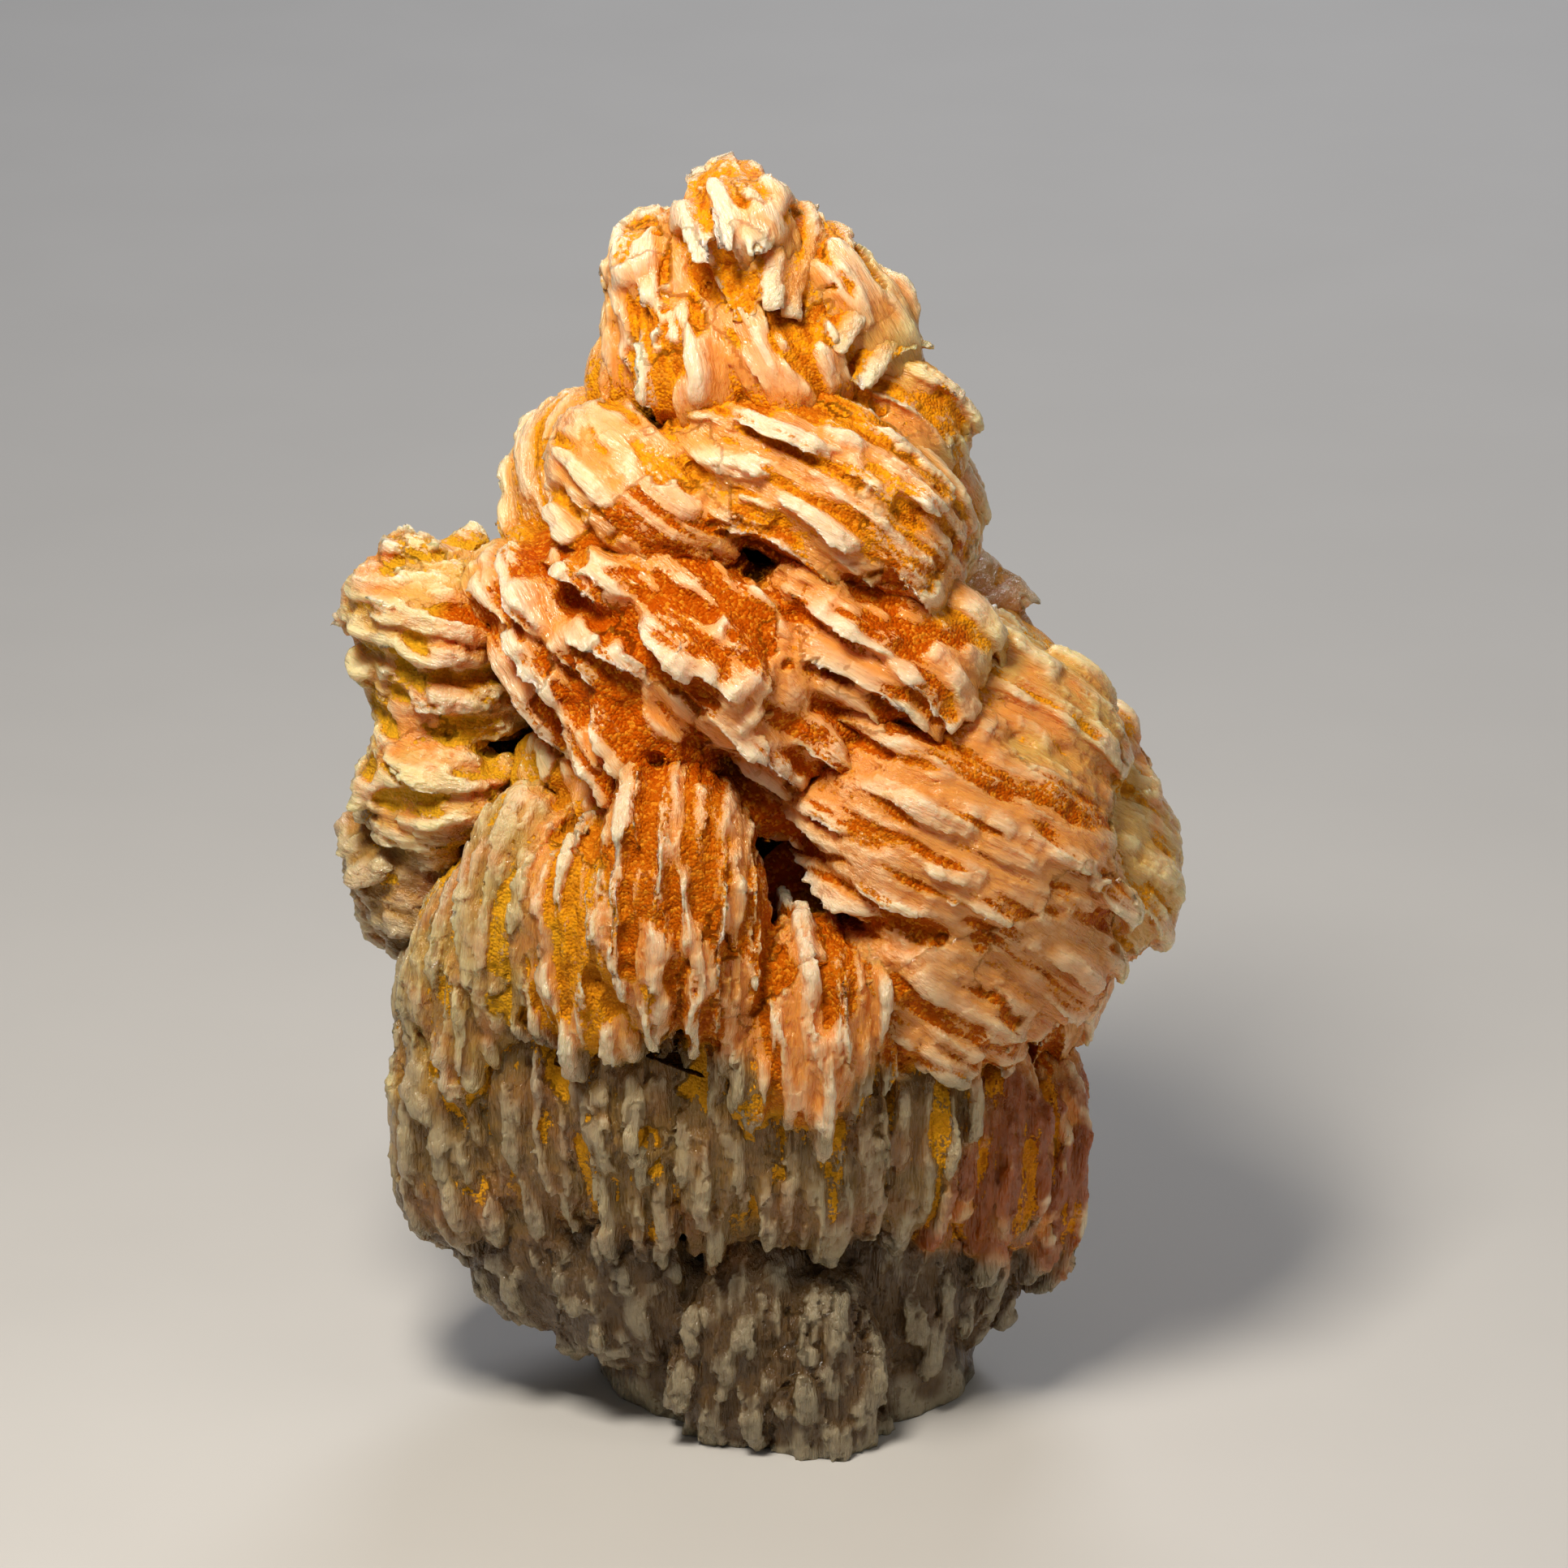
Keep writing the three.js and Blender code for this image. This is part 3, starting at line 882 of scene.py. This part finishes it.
        # It is thick at its foot, thin at its rim and pinched at both ends, and it bows and leans
        foot = 1.15 * habit.pitch
        rim = habit.rim * (1 + 0.35 * wobble(seed + 0.4))
        thick = (foot + (rim - foot) * out**0.7) * self.coarse
        pinch = 0.55 + 0.45 * np.sin(math.pi * t) ** 0.5
        bow = 0.3 * wobble(seed + 0.7) * np.cos(2 * math.pi * t) + 0.16 * ripple(t, habit.length / 3.0, seed + 3)
        v = template.side * thick * pinch + habit.wave * bow * template.outward + shift
        v = v + habit.lean * habit.pitch * self.coarse * out * stand
        points = spray.root + np.outer(u + hang, along) + np.outer(w, outward) + np.outer(v, across)
        template.add_to(shape, points)

    def owners(self, points: np.ndarray) -> np.ndarray:
        """Returns the number of the nearest spray for each point."""
        asked = stray(points)
        return np.argmin([s.distance(asked) for s in self.sprays], axis=0)

    def carve(self) -> None:
        """Sinks lens-shaped pits between the rims, along the ridges, and adds sugary lumps where stained so."""
        points = read_points(self.mesh)
        owner = self.owners(points)
        near = Neighbours(self.mesh)
        tints = [s.stain.value for s in self.sprays]
        druse, lumpy = np.array([(t.druse, t.lumpy) for t in tints])[owner].T
        habits = [s.growth.value for s in self.sprays]
        lens_size = np.array([(h.pit_length, 1.3 * h.pit_length, h.pit_width) for h in habits])[owner]
        pit, rough = np.array([(h.pit, h.rough) for h in habits])[owner].T
        lumpy, self.rough = near.spread(np.array([lumpy, rough]).T, self.soft, 8).T

        # Pits are lenses of noise drawn out along the ridges, and there are more of them where more druse is
        grain = self.grain(points, owner)
        bend = 0.35 * value_noise(points / 3.1, 61)
        bent = grain + bend[:, None] * np.array([0.0, 0.3, 1.0])
        lens = value_noise(bent / lens_size, 31) + 0.35 * value_noise(bent / lens_size * 2.3, 32)
        lens = lens + 1.1 * (druse - 0.62)
        edge = np.clip((lens + 0.08) / 0.3, 0, 1)
        self.pit = near.spread((edge * edge * (3 - 2 * edge))[:, None], 0.4, 1)[:, 0]

        # Broken faces, chips and fine striae roughen the skin
        knobs = np.abs(value_noise(points / 1.25, 41))
        shards = facets(bent / (lens_size * [0.9, 0, 0] + [0, 1.3, 0.75]), 35)
        chips = facets(points / 0.85, 36)
        striae = value_noise(grain * np.array([1 / 4.5, 1 / 2.0, 1 / 0.48]), 33)
        broken = self.rough * (0.22 * shards + 0.1 * chips + 0.13 * striae)
        self.push(broken - self.pit * pit * (1 - lumpy) + 0.5 * lumpy * (0.45 - knobs))

    def push(self, move: np.ndarray) -> None:
        """Moves the skin along its normals and keeps the cut that it rests on flat.

        Args:
            move: How far each point moves.
        """
        points = read_points(self.mesh)
        moved = points + read(self.mesh.vertices, "normal", float, 3) * move[:, None]
        moved[points[:, 2] < 0.01, 2] = 0
        moved[:, 2] = np.maximum(moved[:, 2], 0)
        write_points(self.mesh, moved)

    def grain(self, points: np.ndarray, owner: np.ndarray) -> np.ndarray:
        """Turns points into ridge, growth and stack coordinates in their own sprays.

        Args:
            points: Positions in millimetres.
            owner: The number of each point's spray.

        Returns:
            One row per point.
        """
        grain = np.empty_like(points)
        for number, spray in enumerate(self.sprays):
            mine = owner == number
            grain[mine] = spray.local(points[mine]) + GRAIN_STEP * number
        return grain

    def paint(self, everyone: list[Spray], solids: SolidField, close: np.ndarray, wide: np.ndarray) -> None:
        """Writes the depth in the grooves, the stains and the grain onto the points.

        Args:
            everyone: The sprays of all groups, so that a stain runs on from one group to the next.
            solids: The field that reads the grids.
            close: Density blurred over a groove's width.
            wide: Density blurred over several grooves.
        """
        points = read_points(self.mesh)
        near = Neighbours(self.mesh)
        asked = points + 1.6 * (stray(points) - points)
        nearest = np.argmin([s.distance(asked) for s in everyone], axis=0)
        shares = near.spread(np.array([s.stain.value.shares() for s in everyone])[nearest], self.soft, 14)

        # Below about 24 mm the crystal is smoky, which is partly painted shade that darkens the lower part, and nearly
        # bare of mimetite, but for the amber column
        druse, smoke_and_shade, amber = (CHANNELS.index(name) for name in ("druse", "smoke_and_shade", "amber"))
        low = np.clip((24 - points[:, 2] + 5 * value_noise(points / 5, 71)) / 12, 0, 1) * (1 - shares[:, amber])
        shares[:, druse] *= 1 - 0.85 * low
        shares[:, smoke_and_shade] = np.maximum(shares[:, smoke_and_shade], 0.8 * low)
        shape = (solids.sample(close, points), solids.sample(wide, points), self.pit, self.rough)
        for name, values in zip((*CHANNELS, *SHAPE_MARKS), (*shares.T, *shape)):
            layer = self.mesh.attributes.new(name, "FLOAT", "POINT")
            layer.data.foreach_set("value", values.astype(np.float32))
        grain = self.grain(points, self.owners(points))
        layer = self.mesh.attributes.new("grain", "FLOAT_VECTOR", "POINT")
        layer.data.foreach_set("vector", grain.astype(np.float32).ravel())

    def seal(self) -> None:
        """Takes off what lies deep inside the other groups and closes the skin there.

        Simple holes are filled flat, and a hole whose rim crosses itself is drawn in to one buried point.
        """
        hollow = read(self.mesh.attributes["hollow"].data, "value", np.float32)
        shape = bmesh.new()
        shape.from_mesh(self.mesh)
        drop(shape, hollow > self.buried)
        shape.to_mesh(self.mesh)
        label = Neighbours(self.mesh).islands()
        drop(shape, np.bincount(label, minlength=len(label))[label] < self.crumb)
        bmesh.ops.holes_fill(shape, edges=[e for e in shape.edges if e.is_boundary], sides=0)
        ragged = [e for e in shape.edges if e.is_boundary]
        if ragged:
            made = bmesh.ops.extrude_edge_only(shape, edges=ragged)["geom"]
            tips = [v for v in made if isinstance(v, bmesh.types.BMVert)]
            middle = sum((v.co for v in tips), Vector()) / len(tips)
            bmesh.ops.pointmerge(shape, verts=tips, merge_co=middle)
        shape.to_mesh(self.mesh)
        shape.free()

    def finish(self, material: bpy.types.Material) -> None:
        """Args:
            material: The piece's finish.
        """
        self.mesh.transform(Matrix.Scale(MM, 4))
        self.mesh.materials.clear()
        self.mesh.materials.append(material)
        self.mesh.polygons.foreach_set("use_smooth", np.ones(len(self.mesh.polygons), dtype=bool))
        piece = show(self.name, self.mesh)
        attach(piece, "root")
        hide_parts(NODE)


@dataclass
class Heart(CrystalGroup):
    """The solid core, which shows only at the bottom of the deepest gaps, and takes only its grain from sprays."""

    lumps: tuple[tuple[tuple[float, float, float], tuple[float, float, float]], ...] = (
        ((1, 0, 2), (12, 10, 8)),
        ((-1.5, 1, 14), (17, 12, 13)),
        ((-2, 2.5, 29), (19, 11, 13)),
        ((3, 3.5, 40), (17, 9.5, 11)),
        ((-17, 0.5, 42), (5, 4, 12)),
        ((-1, 1, 52), (12, 9, 9)),
        ((1.5, -2.5, 57), (8.5, 6.5, 6)),
        ((-0.3, 1.2, 64), (7.6, 5.2, 8)),
    )

    def grow(self, template: PlateTemplate) -> None:
        """Joins round lumps into the core.

        Args:
            template: Not used, as the core has no blades.
        """
        shape = bmesh.new()
        for at, size in self.lumps:
            place = Matrix.Translation(at) @ Matrix.Diagonal((*size, 1))
            bmesh.ops.create_icosphere(shape, subdivisions=3, radius=1.0, matrix=place)
        self.mesh = fuse(as_mesh(shape, self.name + "_rough"), self.voxel, self.name)
        points = read_points(self.mesh)
        self.pit = self.rough = np.ones(len(points))
        self.push(0.5 * value_noise(points / 1.6, 51))

    def carve(self) -> None:
        """Leaves the core as it is."""


def fuse(rough: bpy.types.Mesh, voxel: float, name: str) -> bpy.types.Mesh:
    """Fuses overlapping closed shapes into one skin, drops what is sealed inside and cuts it off at the floor.

    Args:
        rough: The overlapping shapes.
        voxel: The size of a voxel.
        name: The new mesh's name.

    Returns:
        The closed skin.
    """
    holder = show(name + "_holder", rough)
    remesh = holder.modifiers.new("fuse", "REMESH")
    remesh.mode = "VOXEL"
    remesh.voxel_size = voxel
    shown = holder.evaluated_get(bpy.context.evaluated_depsgraph_get())
    fused = bpy.data.meshes.new_from_object(shown)
    bpy.data.objects.remove(holder)
    bpy.data.meshes.remove(rough)
    fused.name = name
    near = Neighbours(fused)
    label = near.islands()
    shape = bmesh.new()
    shape.from_mesh(fused)
    volume = np.zeros(near.count)
    for face in shape.faces:
        first, second, third = (face.verts[k].co for k in range(3))
        part = first.dot(second.cross(third))
        if len(face.verts) == 4:
            part += first.dot(third.cross(face.verts[3].co))
        volume[label[face.verts[0].index]] += part / 6
    drop(shape, volume[label] < SPECK)
    if min(v.co.z for v in shape.verts) < 0:
        parts = shape.verts[:] + shape.edges[:] + shape.faces[:]
        cut = bmesh.ops.bisect_plane(shape, geom=parts, plane_co=(0, 0, 0), plane_no=(0, 0, 1), clear_inner=True)
        rim = [e for e in cut["geom_cut"] if isinstance(e, bmesh.types.BMEdge)]
        bmesh.ops.triangle_fill(shape, use_beauty=True, use_dissolve=False, edges=rim)
        bmesh.ops.recalc_face_normals(shape, faces=shape.faces[:])
    shape.to_mesh(fused)
    shape.free()
    return fused


def add_node(
    tree: bpy.types.NodeTree, kind: str, values: tuple | dict, out: int | str = 0, **settings: str
) -> bpy.types.NodeSocket | None:
    """Adds a node, sets its properties and fills its inputs.

    Args:
        tree: The node tree that takes it.
        kind: The node's type name after ShaderNode.
        values: For each input, in order or by number or name, a value or another node's output.
        out: The output that is wanted.
        settings: Properties of the node itself.

    Returns:
        That output, or nothing from a node that has none.
    """
    node = tree.nodes.new("ShaderNode" + kind)
    for key, value in settings.items():
        setattr(node, key, value)
    for key, value in dict(enumerate(values) if isinstance(values, tuple) else values).items():
        if isinstance(value, bpy.types.NodeSocket):
            tree.links.new(value, node.inputs[key])
        else:
            node.inputs[key].default_value = value
    return node.outputs[out] if node.outputs else None


def blank_material(name: str) -> bpy.types.Material:
    """Makes a material with an empty node tree.

    Args:
        name: The material's name.

    Returns:
        The material.
    """
    material = bpy.data.materials.new(name)
    material.use_nodes = True
    material.node_tree.nodes.clear()
    return material


@dataclass(frozen=True)
class MineralFinish:
    """Waxy cerussite with grainy mimetite in its grooves.

    Cerussite is lead carbonate, which splits light strongly and looks greasy to adamantine. Mimetite sits on it
    as a druse of tiny barrels that scatters light, so it looks dry and grainy beside the waxy rims. The colours also
    carry painted light: a painted highlight on the convex edges, and painted shade in the deepest hollows and
    recesses, in the middle of the cluster and on the smoky lower part.
    """

    name: str = "waxy_cerussite_with_mimetite_druse"
    rim: str = "#f4ba82"
    # The milky colour is the crystal's own milky patches and also a painted highlight on its convex edges
    milky_and_highlight: str = "#fbdcbb"
    inner: str = "#ea9743"
    cream: str = "#f4d99c"
    cream_inner: str = "#e0b25c"
    # The smoke colours are the crystal's own grey and also painted shade, darkened for the lower part of the cluster
    smoke_and_shade: str = "#968a6d"
    smoke_inner_and_shade: str = "#544022"
    amber: str = "#a05000"
    orange: str = "#f2960c"
    # red is partly the druse's own red and partly painted shade for the middle of the cluster
    red: str = "#b04602"
    ochre: str = "#cf981c"
    # deep is a dark brown painted shade for the deepest hollows and sheltered recesses
    deep: str = "#3c1402"
    spark: str = "#f9ab2c"
    bare: float = -3.845

    def build(self) -> bpy.types.Material:
        """Builds the node material.

        Returns:
            The material, which reads only Object coordinates and the mesh's own attributes.
        """
        material = blank_material(self.name)
        add = partial(add_node, material.node_tree)
        smooth = {"interpolation_type": "SMOOTHSTEP"}
        colours = {"data_type": "RGBA"}
        times = {"operation": "MULTIPLY"}
        times_plus = {"operation": "MULTIPLY_ADD"}
        larger = {"operation": "MAXIMUM"}
        marks = {name: add("Attribute", {}, "Fac", attribute_name=name) for name in (*CHANNELS, *SHAPE_MARKS)}
        place = add("TexCoord", {}, "Object")
        grain = add("Attribute", {}, "Vector", attribute_name="grain")

        # Blotches of 4 mm, flecks of 1.1 mm, grit of 0.2 mm, and streaks along the ridges
        blotch = add("TexNoise", {"Vector": place, "Scale": 1 / (4 * MM), "Detail": 3, "Roughness": 0.55})
        fleck = add("TexNoise", {"Vector": place, "Scale": 1 / (1.1 * MM), "Detail": 4, "Roughness": 0.65})
        grains = add("TexVoronoi", {"Vector": place, "Scale": 1 / (0.19 * MM)}, "Color")
        grit = add("SeparateColor", {"Color": grains})
        along = add("Mapping", {"Vector": grain, "Scale": (0.28, 1.4, 1.9)})
        streak = add("TexNoise", {"Vector": along, "Scale": 1.0, "Detail": 4, "Roughness": 0.6})
        fine = add("TexNoise", {"Vector": along, "Scale": 2.6, "Detail": 3, "Roughness": 0.6})

        # Broken faces of about a millimetre, each with its own tilt
        broken_at = add("Mapping", {"Vector": grain, "Scale": (0.55, 1.3, 1.7)})
        face = add("TexVoronoi", {"Vector": broken_at, "Scale": 1.0}, "Color")
        away = add("VectorMath", (broken_at, face.node.outputs["Position"]), operation="SUBTRACT")
        tilt = add("VectorMath", (face, (0.5, 0.5, 0.5)), operation="SUBTRACT")
        slope = add("VectorMath", (away, tilt), "Value", operation="DOT_PRODUCT")
        chance = add("SeparateColor", {"Color": face}, 1)

        # Mimetite gathers where the skin is hollow, and its edge is ragged because it is a crust of grains
        pulls = ((marks["hollow"], 2.4), (marks["shelter"], 0.6), (marks["druse"], 0.8), (marks["pit"], 0.9))
        depth = self.bare
        for source, weight in (*pulls, (streak, 2.2), (fleck, 0.9), (grit, 0.55)):
            depth = add("Math", (source, weight, depth), **times_plus)
        patch = add("MapRange", (depth, 0.44, 0.6), **smooth)
        stained = add("MapRange", (marks["druse"], 0.02, 0.12), **smooth)
        cover = add("Math", (patch, stained), **times)

        # The crystal is palest at its edges, where a milky painted highlight stands in for light shining through them,
        # and warmer below them, where light has passed through stained layers
        grooved = add("MapRange", (marks["hollow"], 0.36, 0.52), **smooth)
        warm = add("MapRange", (depth, 0.0, 0.5, 0.0, 0.8), **smooth)
        within = add("Math", (grooved, warm), **larger)
        cloud = add("Math", (chance, 0.35, blotch), **times_plus)
        cloud = add("MapRange", (cloud, 0.5, 0.85, 0.0, 0.9), **smooth)
        unfired = add("Math", (marks["fire_and_shade"], -0.7, 1.0), **times_plus)
        cloud = add("Math", (cloud, unfired), **times)
        # Painted shade: the crystal in the middle of the cluster is mixed a little towards the darker inner colour
        painted_middle_shade = add("MapRange", (marks["fire_and_shade"], 0.4, 1.0, 0.0, 0.18), **smooth)
        # Painted highlight: the convex edges are mixed towards the milky colour, standing in for light shining through
        # them
        edge = add("MapRange", (marks["hollow"], 0.22, 0.4, 0.85, 0.0), **smooth)
        creamy = add("MapRange", (blotch, 0.3, 0.6), **smooth)
        creamy = add("Math", (creamy, marks["cream"]), **times)
        murk = add("MapRange", (fleck, 0.45, 0.7, 0.0, 0.5), **smooth)
        murk = add("Math", (murk, within), **larger)
        soaked = add("MapRange", (blotch, 0.34, 0.44), **smooth)
        soaked = add("Math", (soaked, marks["amber"]), **times)
        cream = add("Mix", {0: within, 6: linear(self.cream), 7: linear(self.cream_inner)}, 2, **colours)
        # The smoke colours darken the lower part, partly as painted shade
        smoke_and_shade = add("Mix", {0: murk, 6: linear(self.smoke_and_shade), 7: linear(self.smoke_inner_and_shade)}, 2, **colours)
        crystal = linear(self.rim)
        layers = ((cloud, self.milky_and_highlight), (painted_middle_shade, self.inner), (edge, self.milky_and_highlight), (within, self.inner))
        for share, shade in layers:
            crystal = add("Mix", {0: share, 6: crystal, 7: linear(shade)}, 2, **colours)
        for share, shade in ((creamy, cream), (marks["smoke_and_shade"], smoke_and_shade), (soaked, linear(self.amber))):
            crystal = add("Mix", {0: share, 6: crystal, 7: shade}, 2, **colours)

        # The druse is orange; red in the middle of the cluster, partly its own red and partly painted shade; ochre on
        # the shaded left side; and mixed towards dark brown far inside, as painted shade
        # The red share is partly the druse's own red and partly painted shade that darkens the middle of the cluster
        red_and_shade_share = add("Math", (marks["fire_and_shade"], 0.78, depth), **times_plus)
        red_and_shade_share = add("Math", (blotch, 0.8, red_and_shade_share), **times_plus)
        red_and_shade_share = add("MapRange", (red_and_shade_share, 1.17, 1.82), **smooth)
        # Painted shade: the deepest hollows and sheltered recesses are mixed towards the dark brown deep colour
        painted_recess_shade = add("MapRange", (marks["hollow"], 0.76, 0.95), **smooth)
        shade_far_in = add("MapRange", (marks["shelter"], 0.66, 0.9), **smooth)
        painted_recess_shade = add("Math", (painted_recess_shade, shade_far_in), **larger)
        glint = add("MapRange", (grit, 0.6, 1.0, 0.0, 0.45), **smooth)
        crust = linear(self.orange)
        layers = ((red_and_shade_share, self.red), (marks["ochre"], self.ochre), (painted_recess_shade, self.deep), (glint, self.spark))
        for share, shade in layers:
            crust = add("Mix", {0: share, 6: crust, 7: linear(shade)}, 2, **colours)
        colour = add("Mix", {0: cover, 6: crystal, 7: crust}, 2, **colours)

        # Broken faces and fine striae run along the ridges of the crystal, and round grains stand up on the crust
        faceting = add("Math", (marks["rough"], 1.2, 0.25), **times_plus)
        faces = add("Math", (slope, faceting), **times)
        lines = add("Math", (fine, 0.8), **times)
        lines = add("Math", (streak, 0.7, lines), **times_plus)
        lining = add("Math", (marks["rough"], 0.9, 0.55), **times_plus)
        relief = add("Math", (lines, lining, faces), **times_plus)
        open_skin = add("Math", (cover, -0.6, 1.0), **times_plus)
        crumbs = add("Math", (grains.node.outputs["Distance"], -0.3, 0.3), **times_plus)
        crumbs = add("Math", (crumbs, cover), **times)
        height = add("Math", (relief, open_skin, crumbs), **times_plus)
        bump = add("Bump", {"Strength": 1.0, "Distance": 0.34 * MM, "Height": height})

        gloss = add("Math", (chance, 0.22, 0.07), **times_plus)
        gloss = add("Math", (cover, 0.42, gloss), **times_plus)
        clear = add("Math", (cover, -0.5, 0.65), **times_plus)
        clear = add("Math", (marks["smoke_and_shade"], -0.3, clear), **times_plus)
        clear = add("Math", (clear, 0.0), **larger)
        tint = add("Mix", {0: cover, 6: (1, 1, 1, 1), 7: linear(self.orange)}, 2, **colours)
        skin = {"Base Color": colour, "Roughness": gloss, "Normal": bump, "IOR": 1.62, "Specular Tint": tint}
        glow = {"Subsurface Weight": clear, "Subsurface Radius": (1.0, 0.6, 0.36), "Subsurface Scale": 1.4 * MM}
        shader = add("BsdfPrincipled", {**skin, **glow}, subsurface_method="RANDOM_WALK")
        add("OutputMaterial", {0: shader})
        return material


@dataclass
class Studio:
    """The pale floor, the soft lights and the camera at the photograph's angle."""

    target: tuple[float, float, float] = (0.78, 0.0, 38.86)
    distance: float = 450.0
    elevation: float = 22.0
    lens: float = 171.9
    floor_size: float = 6.0
    floor_colour: str = "#c6c4bf"
    mottle_colour: str = "#cbc9c4"

    def build_floor(self) -> None:
        """Lays a large plain floor with a faint mottle."""
        shape = bmesh.new()
        bmesh.ops.create_grid(shape, x_segments=2, y_segments=2, size=self.floor_size / 2)
        mesh = as_mesh(shape, "studio_floor")
        material = blank_material("matt_painted_board")
        add = partial(add_node, material.node_tree)
        mottle = add("TexNoise", {"Vector": add("TexCoord", {}, "Object"), "Scale": 60})
        tones = {0: mottle, 6: linear(self.floor_colour), 7: linear(self.mottle_colour)}
        tone = add("Mix", tones, 2, data_type="RGBA")
        add("OutputMaterial", {0: add("BsdfPrincipled", {"Base Color": tone, "Roughness": 0.85})})
        mesh.materials.append(material)
        show("studio_floor", mesh)

    def add_light(self, name: str, spot: tuple[float, float, float], size: float, power: float, colour: str) -> None:
        """Adds a square soft light aimed at the middle of the cluster.

        Args:
            name: The light's name.
            spot: Where it hangs, in millimetres.
            size: Its side, in millimetres.
            power: Its power, in watts.
            colour: Its colour.
        """
        data = bpy.data.lights.new(name, "AREA")
        data.size = size * MM
        data.energy = power
        data.color = linear(colour)[:3]
        light = show(name, data)
        light.location = Vector(spot) * MM
        aim = Vector(self.target) * MM - light.location
        light.rotation_euler = aim.to_track_quat("-Z", "Y").to_euler()

    def build_lights(self) -> None:
        """Hangs a key light high in front, a weaker one on the right, and a dim even sky."""
        self.add_light("key_light", (-45, -88, 200), 50, 0.46, "#fff6ea")
        self.add_light("side_light", (330, -160, 240), 140, 0.18, "#fff8ee")
        self.add_light("back_light", (60, 380, 330), 200, 0.8, "#f2f5ff")
        world = bpy.data.worlds.new("studio_air")
        world.use_nodes = True
        sky = world.node_tree.nodes["Background"]
        sky.inputs["Color"].default_value = linear("#eef0f4")
        sky.inputs["Strength"].default_value = 0.11
        bpy.context.scene.world = world
        bpy.context.scene.view_settings.view_transform = "Standard"

    def build_camera(self) -> None:
        """Sets the camera at the photograph's angle and framing."""
        data = bpy.data.cameras.new("photo_camera")
        data.lens = self.lens
        data.sensor_width = 36
        data.clip_start, data.clip_end = 0.01, 20
        camera = show("photo_camera", data)
        rise = math.radians(self.elevation)
        back = Vector((0, -math.cos(rise), math.sin(rise)))
        camera.location = (Vector(self.target) + back * self.distance) * MM
        camera.rotation_euler = (-back).to_track_quat("-Z", "Y").to_euler()
        bpy.context.scene.camera = camera


@dataclass
class Cluster:
    """All crystal groups of the cluster, which share one field of solid density.

    groove and recess are how wide the hollows are that show as such and as sheltered, in millimetres.
    """

    groups: list[CrystalGroup]
    joint_voxel: float = 0.4
    groove: float = 0.75
    recess: float = 2.2

    def build(self) -> None:
        """Grows, carves, paints and finishes every group."""
        template = PlateTemplate()
        solids = SolidField()
        for group in self.groups:
            group.grow(template)
            group.carve()
            LOG.info("%s has %d faces", group.name, len(group.mesh.polygons))
        solids.add(self.whole())
        close, wide = solids.solve(self.groove), solids.solve(self.recess)
        material = MineralFinish().build()
        everyone = [spray for group in self.groups if not isinstance(group, Heart) for spray in group.sprays]
        for group in self.groups:
            group.paint(everyone, solids, close, wide)
            group.seal()
            group.finish(material)
            LOG.info("%s is finished with %d faces", group.name, len(group.mesh.polygons))

    def whole(self) -> bpy.types.Mesh:
        """Fuses all groups, so that overlaps count once.

        Returns:
            One coarse skin round all groups.
        """
        shape = bmesh.new()
        for group in self.groups:
            shape.from_mesh(group.mesh)
        return fuse(as_mesh(shape, "joined_rough"), self.joint_voxel, "joined")


def main() -> None:
    """Builds the studio and the cluster."""
    logging.basicConfig(level=logging.INFO, format="%(asctime)s %(message)s")
    studio = Studio()
    studio.build_camera()
    studio.build_lights()
    studio.build_floor()
    back = {"coarse": 1.35, "voxel": 0.34}
    cluster = Cluster(
        [
            CrystalGroup("crest_sprays", CREST, 13),
            CrystalGroup("upper_tier_sprays", UPPER_TIER, 2),
            CrystalGroup("middle_tier_sprays", MIDDLE_TIER, 3),
            CrystalGroup("right_side_sprays", RIGHT_SIDE, 4),
            CrystalGroup("amber_column", AMBER_COLUMN, 5),
            CrystalGroup("left_pillar_layers", LEFT_PILLAR, 6),
            CrystalGroup("front_ribs", FRONT_FANS, 7),
            CrystalGroup("curtain_ribs", CURTAIN, 8),
            CrystalGroup("foot_flutes", FOOT, 9),
            CrystalGroup("back_upper_sprays", BACK_UPPER, 10, **back),
            CrystalGroup("back_lower_sprays", BACK_LOWER, 11, **back),
            Heart("solid_core", FRONT_FANS + MIDDLE_TIER + CREST + FOOT, voxel=0.7),
        ]
    )
    cluster.build()


if __name__ == "__main__":
    main()
